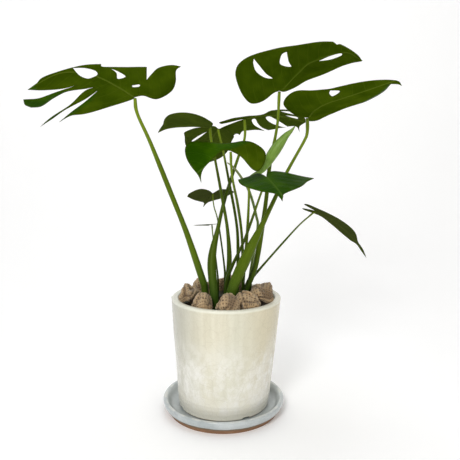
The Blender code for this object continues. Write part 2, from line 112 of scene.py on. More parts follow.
def ripple(turn, height, scale, seed):
    """Smooth noise round a thrown shape, about -1 to 1."""
    per_metre = 60
    spots = np.stack([np.cos(turn) * scale, np.sin(turn) * scale, height * per_metre], -1).reshape(-1, 3)
    values = [noise.noise(Vector(spot) + Vector((seed, 0, 0))) for spot in spots]
    return np.array(values).reshape(turn.shape)


def node(tree, kind, inputs=(), **settings):
    """A shader node with its settings and its inputs, which are values or other nodes' outputs."""
    made = tree.nodes.new(kind)
    for key, value in settings.items():
        setattr(made, key, value)
    for key, value in dict(inputs).items():
        if isinstance(value, bpy.types.NodeSocket):
            tree.links.new(value, made.inputs[key])
        else:
            made.inputs[key].default_value = value
    return made


def blank(name):
    """An empty node material, its tree, its output and object coordinates."""
    material = bpy.data.materials.new(name)
    material.use_nodes = True
    tree = material.node_tree
    tree.nodes.clear()
    out = tree.nodes.new("ShaderNodeOutputMaterial")
    return material, tree, out, tree.nodes.new("ShaderNodeTexCoord").outputs["Object"]


def sums(tree, operation, a, b=0.0, c=0.0):
    """One step of arithmetic on values or outputs."""
    return node(tree, "ShaderNodeMath", {0: a, 1: b, 2: c}, operation=operation).outputs[0]


def times(tree, a, b):
    return sums(tree, "MULTIPLY", a, b)


def band(tree, value, low, high):
    """0 below low, 1 above high and smooth between them; low may be above high."""
    made = node(tree, "ShaderNodeMapRange", {0: value, 1: low, 2: high}, interpolation_type="SMOOTHSTEP")
    return made.outputs[0]


def mixed(tree, share, first, second):
    """Two colours, each red, green and blue or a node's output, mixed by a share of the second."""
    first, second = (c if isinstance(c, bpy.types.NodeSocket) else (*c, 1) for c in (first, second))
    made = node(tree, "ShaderNodeMix", {0: share, 6: first, 7: second}, data_type="RGBA")
    return made.outputs[2]


def tinted(tree, body, share, most, colour):
    """The body colour with another over it, as thick as the share times the most that it covers."""
    return mixed(tree, times(tree, share, most), body, colour)


def cloudy(tree, place, scale, detail=3.0, stretch=(1, 1, 1), rough=0.5):
    """Noise from 0 to 1 over stretched coordinates."""
    moved = node(tree, "ShaderNodeMapping", {"Vector": place, "Scale": stretch}).outputs[0]
    made = node(tree, "ShaderNodeTexNoise", {"Vector": moved, "Scale": scale, "Detail": detail})
    made.inputs["Roughness"].default_value = rough
    return made.outputs[0]


def grains(tree, place, scale, feature="F1"):
    """The outputs of a pattern of rounded cells, scale to the metre."""
    return node(tree, "ShaderNodeTexVoronoi", {"Vector": place, "Scale": scale}, feature=feature).outputs


def crackle(tree, place, scale, width):
    """1 on the fine cracks of a crazed glaze and 0 between them."""
    warp = node(tree, "ShaderNodeTexNoise", {"Vector": place, "Scale": scale * 0.6, "Detail": 1.0})
    by = {0: warp.outputs[1], 1: (0.004, 0.004, 0.004)}
    bent = node(tree, "ShaderNodeVectorMath", by, operation="MULTIPLY").outputs[0]
    moved = node(tree, "ShaderNodeVectorMath", {0: place, 1: bent}, operation="ADD").outputs[0]
    return band(tree, grains(tree, moved, scale, "DISTANCE_TO_EDGE")["Distance"], width, 0.0)


def bumped(tree, relief, depth, strength):
    """The facing of a surface with fine relief on it, depth metres deep."""
    inputs = {"Height": relief, "Distance": depth, "Strength": strength}
    return node(tree, "ShaderNodeBump", inputs).outputs[0]


def coat(tree, body, rough, facing, more=()):
    """A surface of one colour and roughness, with its other inputs by name."""
    inputs = {"Base Color": body, "Roughness": rough, "Normal": facing, **dict(more)}
    return node(tree, "ShaderNodeBsdfPrincipled", inputs).outputs[0]


# Half of the saucer's section as (radius, height): under the foot, up the flank, over the rolled
# rim and down to the floor of the dish.
saucer_profile = [
    (0.0005, 0.0), (0.030, 0.0), (0.060, 0.0), (0.0822, 0.0), (0.0838, 0.0004), (0.0846, 0.0018),
    (0.0856, 0.0042), (0.0877, 0.0062), (0.0901, 0.0086), (0.0921, 0.0115), (0.0933, 0.0146),
    (0.0937, 0.0174), (0.0934, 0.0196), (0.0922, 0.0210), (0.0905, 0.0215), (0.0887, 0.0211),
    (0.0869, 0.0197), (0.0851, 0.0171), (0.0832, 0.0140), (0.0808, 0.0114), (0.0780, 0.0101),
    (0.0740, 0.0099), (0.060, 0.0099), (0.030, 0.0099), (0.0005, 0.0099),
]


def saucer_shift(turn, radius, height):
    """The rim is a little out of round, and dips a little, always within the true section."""
    wave = ripple(turn, height, 1.6, 3.0)
    outer = np.clip((radius - 0.078) / 0.012, 0, 1)
    sag = 0.0004 * outer * (1 + wave) / 2 * np.clip(height / 0.01, 0, 1)
    return radius - 0.0007 * outer * (0.5 + 0.5 * wave), height - sag


saucer_glaze, tree, out, place = blank("blue_grey_glaze")
height = node(tree, "ShaderNodeSeparateXYZ", {0: place}).outputs[2]
reach = node(tree, "ShaderNodeVectorMath", {0: place, 1: (1, 1, 0)}, operation="MULTIPLY").outputs[0]
reach = node(tree, "ShaderNodeVectorMath", {0: reach}, operation="LENGTH").outputs[1]
drift = cloudy(tree, place, 26.0, 4.0)
body = mixed(tree, band(tree, drift, 0.35, 0.68), (0.42, 0.46, 0.465), (0.56, 0.60, 0.60))
# The glaze pools on the floor of the dish, and a painted highlight, broken into patches, pales the top of the
# rim.
pooled = times(tree, band(tree, reach, 0.0865, 0.0815), band(tree, height, 0.008, 0.0095))
body = tinted(tree, body, pooled, 0.55, (0.34, 0.37, 0.36))
patchy = band(tree, cloudy(tree, place, 60.0), 0.40, 0.62)
# Painted highlight on the top of the rim.
thin = times(tree, band(tree, height, 0.0196, 0.0213), patchy)
body = tinted(tree, body, thin, 0.55, (0.74, 0.74, 0.68))
specks = grains(tree, place, 260.0)["Distance"]
here_and_there = band(tree, cloudy(tree, place, 45.0), 0.52, 0.62)
specks = times(tree, band(tree, specks, 0.16, 0.06), here_and_there)
body = tinted(tree, body, specks, 0.6, (0.22, 0.17, 0.12))
crazing = crackle(tree, place, 150.0, 0.045)
body = tinted(tree, body, crazing, 0.22, (0.28, 0.30, 0.30))
# Outside, it ends in a ragged line above the foot, darker where it meets the clay.
ragged = sums(tree, "MULTIPLY_ADD", cloudy(tree, place, 34.0, 3.0), 0.0060, height)
outside = sums(tree, "MAXIMUM", band(tree, reach, 0.0832, 0.0842), band(tree, height, 0.0080, 0.0060))
bare = times(tree, band(tree, ragged, 0.0140, 0.0130), outside)
clay = mixed(tree, cloudy(tree, place, 90.0, 5.0, rough=0.7), (0.17, 0.085, 0.040), (0.36, 0.20, 0.105))
clay = mixed(tree, band(tree, ragged, 0.0095, 0.0120), clay, (0.15, 0.115, 0.065))
body = mixed(tree, bare, body, clay)
gritty = sums(tree, "MULTIPLY_ADD", bare, 0.62, 0.16)
grain = cloudy(tree, place, 420.0, 4.0, rough=0.7)
swell = cloudy(tree, place, 55.0, 2.0)
relief = sums(tree, "MULTIPLY_ADD", grain, sums(tree, "MULTIPLY_ADD", bare, 0.5, 0.02), swell)
facing = bumped(tree, relief, 0.0008, 0.35)
surface = coat(tree, body, gritty, facing)
tree.links.new(surface, out.inputs[0])

points, faces = thrown(smooth_line([(*p, 0) for p in saucer_profile], 4), 180, saucer_shift)
new_piece("saucer_dish", points, faces, saucer_glaze, "blue_grey_glaze", "saucer")

# ---------------------------------------------------------------- Pot
# A tapered cylinder of thrown stoneware with a thick wall and a rounded lip.  Its cream glaze is
# crazed all over, ran down in long faint tears as it was fired, and stops just above the foot.

pot_low, pot_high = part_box("pot")
pot_foot, pot_top = pot_low.z, pot_high.z
pot_tall = pot_top - pot_foot
rim_radius, base_radius, wall = 0.0825, 0.0693, 0.0090
lean = 0.0046  # how far the rim stands to the right of the foot
notches = (72, 204, 299)  # degrees, where the foot ring is cut so that water drains
notch_half_width, notch_tall = 0.0055, 0.0032


def pot_side(height):
    """The outer radius of the wall at a height above the foot."""
    return base_radius + (rim_radius - base_radius) * height / pot_tall


def leaned(points):
    """The points of the pot, or of what fills it, sheared to the right with the pot."""
    points = np.array(points)
    points[:, 0] += lean * (points[:, 2] - pot_foot) / pot_tall
    return points


# Half of the pot's section as (radius, height above its foot): under the foot ring, up the wall,
# over the lip, down the inside and across to the drain hole.
pot_profile = [
    (0.0082, 0.0046), (0.030, 0.0045), (0.0585, 0.0045), (0.0606, 0.0038), (0.0612, 0.0012), (0.0622, 0.0),
    (0.0662, 0.0), (0.0678, 0.0004), (0.0687, 0.0016), (0.0693, 0.0042), (0.0699, 0.0080),
    (0.0705, 0.0120), (0.0709, 0.0165), (0.0716, 0.0225), (0.0715, 0.0245),
    *((pot_side(h) + 0.0005 * math.sin(math.pi * h / pot_tall), h) for h in (0.03, 0.05, 0.07, 0.09, 0.11)),
    *((pot_side(h) + 0.0002, h) for h in (0.13, 0.145, 0.155)),
    (0.0819, 0.1620), (0.0824, 0.1655), (0.0823, 0.1680), (0.0813, 0.1692), (0.0798, 0.1697),
    (0.0762, 0.1697), (0.0738, 0.1692), (0.0728, 0.1680), (0.0723, 0.1650), (0.0722, 0.1600),
    *((pot_side(h) - wall, h) for h in (0.15, 0.12, 0.09, 0.06, 0.03)),
    (0.0560, 0.0125), (0.0450, 0.0110), (0.0200, 0.0110), (0.0082, 0.0110), (0.0082, 0.0046),
]
# The long tears of glaze: where each runs round the pot and how wide it is, both in radians.
tears = [(np.sin(11.0 * k) * math.pi, 0.012 + 0.010 * abs(np.sin(5.3 * k))) for k in range(34)]
ring_pitch = 0.0075


def pot_shift(turn, radius, height):
    """Throwing rings, tears of glaze, a lip that isn't quite level, and the notched foot ring."""
    outside = np.clip((radius - (pot_side(height) - 0.003)) / 0.002, 0, 1)
    tall = height / pot_tall
    wave = ripple(turn, height * 0.5, 1.3, 9.0)
    rings = np.sin(height * 2 * math.pi / ring_pitch + 0.6 * wave)
    run = np.zeros_like(radius)
    for k, (centre, width) in enumerate(tears):
        end = 0.10 + 0.55 * abs(math.sin(2.7 * k))
        off = np.angle(np.exp(1j * (turn - centre))) / width
        length = 1 / (1 + np.exp(-(tall - end) / 0.012))
        bead = np.exp(-(((tall - end) / 0.022) ** 2))
        run += np.exp(-(off**2)) * (0.55 * length + 0.5 * bead)
    glazed = np.clip((height - 0.012) / 0.004, 0, 1)
    grow = 0.00012 * rings + 0.00022 * run * glazed - 0.0006 * (0.5 + 0.5 * wave) * tall
    lip = np.clip((height - 0.166) / 0.003, 0, 1)
    height = height - 0.0005 * lip * (0.5 + 0.5 * ripple(turn, height * 0, 1.9, 4.0))
    for angle in notches:
        away = np.abs(np.angle(np.exp(1j * (turn - math.radians(angle))))) * radius
        depth = np.clip((notch_half_width + 0.0008 - away) / 0.0016, 0, 1)
        under = (radius > 0.0600) & (height < notch_tall)
        height = np.where(under, np.maximum(height, notch_tall * depth), height)
    return radius + grow * outside, height + pot_foot


pot_glaze, tree, out, place = blank("cream_crackle_glaze")
parts = node(tree, "ShaderNodeSeparateXYZ", {0: place}).outputs
height = parts[2]
from_foot = sums(tree, "ADD", parts[0], lean * pot_foot / pot_tall)
upright = sums(tree, "MULTIPLY_ADD", height, -lean / pot_tall, from_foot)
reach = node(tree, "ShaderNodeCombineXYZ", {0: upright, 1: parts[1]}).outputs[0]
reach = node(tree, "ShaderNodeVectorMath", {0: reach}, operation="LENGTH").outputs[1]
streaks = cloudy(tree, place, 95.0, 3.0, (1, 1, 0.07))
patches = cloudy(tree, place, 24.0, 5.0, (1, 1, 0.55), 0.6)
body = mixed(tree, band(tree, streaks, 0.30, 0.72), (0.68, 0.64, 0.49), (0.77, 0.735, 0.59))
cool = cloudy(tree, place, 9.0, 2.0, (1, 1, 0.4))
body = tinted(tree, body, band(tree, cool, 0.45, 0.62), 0.40, (0.65, 0.66, 0.54))
# Painted shade greys the glaze to the left and painted warm light tints it to the right, and the glaze is
# milky and curdled low down.
body = tinted(tree, body, band(tree, parts[0], -0.020, -0.070), 0.75, (0.46, 0.46, 0.39))
body = tinted(tree, body, band(tree, parts[0], 0.015, 0.070), 0.60, (0.69, 0.60, 0.39))
low_down = times(tree, band(tree, height, 0.150, 0.070), band(tree, height, 0.010, 0.032))
body = tinted(tree, body, low_down, 0.25, (0.78, 0.77, 0.68))
# Painted light: paler still towards the foot, to undo the shade the saucer throws there.
body = tinted(tree, body, band(tree, height, 0.060, 0.018), 0.85, (0.88, 0.85, 0.74))
curdled = cloudy(tree, place, 85.0, 4.0, (1, 1, 0.7), 0.65)
curdy = times(tree, band(tree, curdled, 0.45, 0.62), 0.4)
milky = sums(tree, "MULTIPLY_ADD", band(tree, patches, 0.44, 0.62), 0.6, curdy)
body = tinted(tree, body, times(tree, milky, low_down), 0.95, (0.88, 0.87, 0.81))
fine_crazing = times(tree, crackle(tree, place, 210.0, 0.05), 0.5)
crazing = sums(tree, "MAXIMUM", crackle(tree, place, 85.0, 0.030), fine_crazing)
body = tinted(tree, body, crazing, 0.20, (0.42, 0.37, 0.26))
# A painted highlight on the lip, grey inside, and bare clay below a ragged line at the foot ring.
lip = band(tree, height, pot_top - 0.0055, pot_top - 0.0020)
body = tinted(tree, body, lip, 0.70, (0.88, 0.88, 0.76))
flare = sums(tree, "SUBTRACT", reach, times(tree, height, 0.0778))
inner = band(tree, flare, base_radius - wall, base_radius - wall - 0.0009)
body = mixed(tree, inner, body, (0.42, 0.45, 0.37))
ragged = sums(tree, "MULTIPLY_ADD", cloudy(tree, place, 40.0, 3.0), 0.0030, height)
bare = band(tree, ragged, pot_foot + 0.0032, pot_foot + 0.0024)
clay = mixed(tree, cloudy(tree, place, 120.0, 4.0), (0.36, 0.22, 0.12), (0.52, 0.37, 0.24))
body = mixed(tree, bare, body, clay)
rough = sums(tree, "MULTIPLY_ADD", bare, 0.55, sums(tree, "MULTIPLY_ADD", patches, 0.16, 0.14))
curds = times(tree, times(tree, curdled, low_down), 1.9)
runs = sums(tree, "MULTIPLY_ADD", streaks, 0.7, sums(tree, "MULTIPLY_ADD", patches, 0.5, curds))
relief = sums(tree, "MULTIPLY_ADD", crazing, -0.30, runs)
facing = bumped(tree, relief, 0.0011, 0.45)
surface = coat(tree, body, rough, facing)
tree.links.new(surface, out.inputs[0])

points, faces = thrown(smooth_line([(*p, 0) for p in pot_profile], 4), 240, pot_shift)
new_piece("pot_body", leaned(points), faces, pot_glaze, "cream_crackle_glaze", "pot")

# ---------------------------------------------------------------- Potting mix
# Peat, bark fines and a little grit, up to two centimetres below the lip.  It only shows in the
# gaps of the sacking.

soil_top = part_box("potting_soil")[1].z
soil_reach = 0.0712
soil_deep = 0.012  # how much of the mix is made, below its top

potting_mix, tree, out, place = blank("potting_mix")
crumbs = grains(tree, place, 420.0)
body = mixed(tree, band(tree, crumbs["Color"], 0.2, 0.8), (0.018, 0.011, 0.007), (0.085, 0.050, 0.028))
body = mixed(tree, band(tree, cloudy(tree, place, 520.0, 2.0), 0.66, 0.72), body, (0.22, 0.16, 0.11))
relief = sums(tree, "ADD", crumbs["Distance"], cloudy(tree, place, 900.0))
facing = bumped(tree, relief, 0.0012, 0.8)
surface = coat(tree, body, 0.95, facing)
tree.links.new(surface, out.inputs[0])


def round_grid(count):
    """A square grid from -1 to 1 each way, and the same points drawn in to a disc."""
    grid = np.linspace(-1, 1, count)
    s, t = np.meshgrid(grid, grid, indexing="ij")
    return s, t, s * np.sqrt(1 - t**2 / 2), t * np.sqrt(1 - s**2 / 2)


def two_skins(count):
    """The faces of a square sheet of points, of a second skin under it and of the edge between."""
    at = np.arange(count * count).reshape(count, count)
    squares = np.stack([at[:-1, :-1], at[1:, :-1], at[1:, 1:], at[:-1, 1:]], -1).reshape(-1, 4)
    edge = np.concatenate([at[:-1, 0], at[-1, :-1], at[:0:-1, -1], at[0, :0:-1]])
    under = count * count
    skirt = [(b, a, a + under, b + under) for a, b in zip(edge, np.roll(edge, -1))]
    return [*squares.tolist(), *(squares[:, ::-1] + under).tolist(), *skirt]


cells = 110
_, _, x, y = round_grid(cells)
x, y = (x * soil_reach).ravel(), (y * soil_reach).ravel()
crumb = [noise.noise(Vector((a, b, 0)) * 300) for a, b in zip(x, y)]
speck = [noise.noise(Vector((a, b, 0.1)) * 700) for a, b in zip(x, y)]
heap = [noise.noise(Vector((a, b, 0.5)) * 45) for a, b in zip(x, y)]
rise = np.array(crumb) + 0.6 * np.array(speck)
top = np.stack([x, y, soil_top - 0.0022 + 0.0009 * rise + 0.0010 * np.array(heap)], -1)
under = top.copy()
under[:, 2] = soil_top - soil_deep
new_piece(
    "potting_mix", leaned(np.concatenate([top, under])), two_skins(cells), potting_mix, "potting_mix",
    "potting_soil",
)

# ---------------------------------------------------------------- Leaf stalks
# Each leaf stands on its own long stalk, round and smooth, with a channelled sheath low down that
# wraps the next one.  Just under the blade the stalk has a short swollen joint that turns the leaf.

# Each stalk from the soil to its leaf: x, y, height above the soil, and radius, in millimetres.
stalk_routes = {
    "upper_left": [
        (-28, -11, 0, 5.4), (-28, -13, 34, 5.4), (-32, -16, 50, 5.1), (-53, -18, 117, 4.1),
        (-78, -16, 182, 3.6), (-104, -13, 248, 2.9), (-122, -11, 289, 2.3), (-125, -10, 310, 2.2),
    ],
    "upper_right": [
        (31, -6, 0, 4.6), (35, -5, 30, 4.6), (48, 0, 64, 4.2), (60, 10, 132, 3.6),
        (65, 16, 169, 3.2), (70, 22, 216, 2.8), (81, 31, 274, 2.2), (84, 38, 323, 2.1),
    ],
    "right": [
        (8, -34, 0, 6.8), (14, -34, 38, 7.6), (37, -31, 91, 7.2), (60, -30, 140, 3.8),
        (77, -28, 176, 2.8), (92, -26, 209, 2.4), (114, -24, 249, 2.2), (119, -22, 262, 2.2),
        (119, -22, 282, 2.1),
    ],
    "back_split": [
        (-11, -27, 0, 5.4), (-14, -24, 31, 6.4), (-17, -8, 76, 6.2), (-8, 8, 121, 3.4),
        (1, 22, 159, 2.8), (13, 36, 197, 2.5), (23, 50, 226, 2.3), (33, 65, 255, 2.1),
        (33, 75, 283, 2.0),
    ],
    "left": [
        (4, 6, 0, 4.4), (6, 5, 34, 4.2), (9, 4, 75, 3.6), (6, 2, 122, 2.6), (-2, 0, 170, 2.2),
        (-12, -2, 225, 1.9), (-17, -3, 251, 1.8), (-19, -4, 269, 1.8),
    ],
    "left_back": [
        (20, 16, 0, 2.8), (22, 15, 35, 2.7), (22, 15, 102, 2.4), (18, 15, 140, 2.2),
        (9, 17, 188, 2.0), (1, 23, 230, 1.8), (-4, 31, 251, 1.7), (-8, 37, 267, 1.6),
    ],
    "front_left": [
        (31, 7, 0, 2.6), (30, 7, 40, 2.5), (28, -7, 106, 2.2), (22, -21, 155, 2.0),
        (13, -36, 202, 1.8), (11, -46, 235, 1.7),
    ],
    "front_right": [
        (2, -13, 0, 2.8), (5, -13, 43, 2.7), (14, -17, 70, 2.4), (32, -27, 112, 2.0),
        (53, -50, 179, 1.6), (60, -58, 201, 1.5),
    ],
    "unfurling": [
        (31, 26, 0, 2.8), (31, 24, 37, 2.7), (36, 10, 112, 2.2), (38, 0, 169, 1.9),
        (37, -3, 191, 1.9),
    ],
    "small_left": [
        (0, 22, 0, 1.8), (2, 23, 38, 1.7), (1, 27, 60, 1.6), (-8, 38, 124, 1.2),
        (-15, 43, 150, 1.0), (-17, 45, 169, 1.0),
    ],
    "tiny_left": [
        (-9, 32, 0, 1.6), (-9, 32, 39, 1.5), (-16, 33, 100, 1.1), (-18, 34, 122, 0.9),
    ],
    "low_right": [
        (41, 12, 0, 2.2), (42, 10, 38, 2.1), (49, 9, 50, 1.9), (107, 8, 118, 1.3),
        (130, 8, 140, 1.2), (137, 8, 146, 1.2),
    ],
}

# How much painted shade darkens each stalk, from 0 for the sunlit yellow-green ones to 1.
stalk_shade = {
    "upper_left": 0.15, "upper_right": 0.30, "right": 0.25, "back_split": 0.55, "left": 0.60,
    "left_back": 0.80, "front_left": 0.55, "front_right": 0.85, "unfurling": 0.10, "small_left": 0.70,
    "tiny_left": 0.75, "low_right": 0.65,
}
# How far up, in millimetres, each stalk's open sheath reaches, and which way it opens, in degrees.
stalk_sheath = {
    "upper_left": (70, 60), "upper_right": (60, 200), "right": (120, 150), "back_split": (90, 20),
    "left": (60, 250), "front_right": (40, 100), "unfurling": (40, 0),
}


def marked(tree, name):
    """What a piece's points are marked with under this name."""
    return node(tree, "ShaderNodeAttribute", attribute_name=name).outputs["Fac"]


def flat_run(tree):
    """How far round and how far along a piece each point is, from its flat map."""
    flat = node(tree, "ShaderNodeUVMap", uv_map="flat").outputs[0]
    return node(tree, "ShaderNodeSeparateXYZ", {0: flat}).outputs


stalk_green, tree, out, place = blank("stalk_green")
run = flat_run(tree)
shade = marked(tree, "shade")
share = marked(tree, "share")
hollow = marked(tree, "hollow")
drawn_out = {0: times(tree, run[0], 9.0), 1: times(tree, run[1], 0.35), 2: shade}
fibre_place = node(tree, "ShaderNodeCombineXYZ", drawn_out).outputs[0]
fibre = node(tree, "ShaderNodeTexNoise", {"Vector": fibre_place, "Scale": 5.0, "Detail": 3.0}).outputs[0]
blotch = cloudy(tree, place, 60.0, 3.0, (1, 1, 0.5))
# Sunlit and shaded copies of the stalk's green, mixed by each stalk's painted shade.
bright = mixed(tree, fibre, (0.060, 0.105, 0.003), (0.125, 0.190, 0.008))
deep = mixed(tree, fibre, (0.012, 0.030, 0.002), (0.040, 0.070, 0.004))
body = mixed(tree, shade, bright, deep)
# Painted shade: darker green towards the foot of each stalk.
foot = band(tree, sums(tree, "MULTIPLY_ADD", blotch, 0.12, share), 0.34, 0.10)
body = tinted(tree, body, foot, 0.75, (0.030, 0.075, 0.010))
# Paler towards the swollen joint under the leaf, and painted sunlight over the upper third of the stalk.
neck = band(tree, share, 0.62, 0.97)
body = tinted(tree, body, neck, 0.60, (0.22, 0.30, 0.020))
# Painted shade in the sheath's groove.
body = tinted(tree, body, hollow, 0.6, (0.016, 0.040, 0.006))
flecks = grains(tree, place, 900.0)["Distance"]
flecks = times(tree, band(tree, flecks, 0.28, 0.12), band(tree, blotch, 0.50, 0.60))
body = tinted(tree, body, flecks, 0.45, (0.24, 0.32, 0.07))
relief = sums(tree, "MULTIPLY_ADD", fibre, 0.8, flecks)
facing = bumped(tree, relief, 0.0003, 0.35)
rough = sums(tree, "MULTIPLY_ADD", blotch, 0.18, 0.30)
surface = coat(tree, body, rough, facing, {
    "IOR": 1.30, "Specular IOR Level": 0.40, "Specular Tint": (0.90, 1.0, 0.40, 1),
    "Subsurface Weight": 0.15, "Subsurface Radius": (0.002, 0.003, 0.001), "Subsurface Scale": 1.0,
})
tree.links.new(surface, out.inputs[0])


mm = 0.001


def swept(route, sides, steps, section):
    """Points, faces and marks of a tube along (x, y, z, radius) points above the soil, in metres."""
    centres = smooth_line([point[:3] for point in route], steps) * mm
    widths = smooth_line([(point[3], 0, 0) for point in route], steps)[:, 0] * mm
    centres[:, 2] += soil_top
    legs = np.linalg.norm(np.diff(centres, axis=0), axis=1)
    along = np.concatenate([[0], np.cumsum(legs)])
    across = Vector((1, 0, 0))
    points, uv, share, hollow = [], [], [], []
    for k, centre in enumerate(centres):
        ahead = Vector(centres[min(k + 1, len(centres) - 1)] - centres[max(k - 1, 0)]).normalized()
        across = (across - ahead * across.dot(ahead)).normalized()
        other = ahead.cross(across)
        for side in range(sides):
            angle = 2 * math.pi * side / sides
            reach, dent = section(angle, along[k] / along[-1], along[k])
            step = (across * math.cos(angle) + other * math.sin(angle)) * widths[k] * reach
            points.append(Vector(centre) + step)
            uv.append((side / sides, along[k] * 10))
            share.append(along[k] / along[-1])
            hollow.append(dent)
    ends = [tuple(range(sides))[::-1], tuple(range(len(points) - sides, len(points)))]
    return points, wrapped(len(centres), sides) + ends, uv, share, hollow


into_leaf = 0.5  # millimetres that each stalk runs on into its leaf, so that no gap shows


def drawn_on(route, by):
    """The route with its last point moved on by so many millimetres."""
    last, before = Vector(route[-1][:3]), Vector(route[-2][:3])
    return [*route[:-1], (*(last + (last - before).normalized() * by), route[-1][3])]


for name, route in stalk_routes.items():
    reach_up, opens = stalk_sheath.get(name, (0, 0))

    def section(angle, share, along):
        """Radius and groove depth of the stalk at an angle round it; the groove depth also sets its painted
        shade.
        """
        swell = 1 + 0.16 * math.exp(-(((share - 0.965) / 0.022) ** 2)) - 0.05 * math.sin(17 * share)
        swell += 0.025 * noise.noise(Vector((3 * math.cos(angle), 3 * math.sin(angle), along * 60)))
        away = abs(math.remainder(angle - math.radians(opens), 2 * math.pi))
        held = 1 / (1 + math.exp((along * 1000 - reach_up) / 9)) if reach_up else 0
        groove = 0.55 * held * math.exp(-((away / 0.42) ** 2))
        wing = 0.16 * held * math.exp(-(((away - 0.75) / 0.22) ** 2))
        channel = 0.05 * math.exp(-((away / 0.5) ** 2))
        return swell - groove + wing - channel, min(1, groove * 2)

    points, faces, uv, share, hollow = swept(drawn_on(route, into_leaf), 28, 9, section)
    shade = [stalk_shade[name]] * len(points)
    new_piece(
        f"stalk_{name}", points, faces, stalk_green, "stalk_green", f"petiole_{name}",
        uv=uv, share=share, hollow=hollow, shade=shade,
    )

# ---------------------------------------------------------------- Leaves
# Leathery blades under a millimetre thick: glossy and deep green above, matt olive below, with a
# pale ridged midrib, side veins that quilt the blade, and the splits and holes this plant grows.

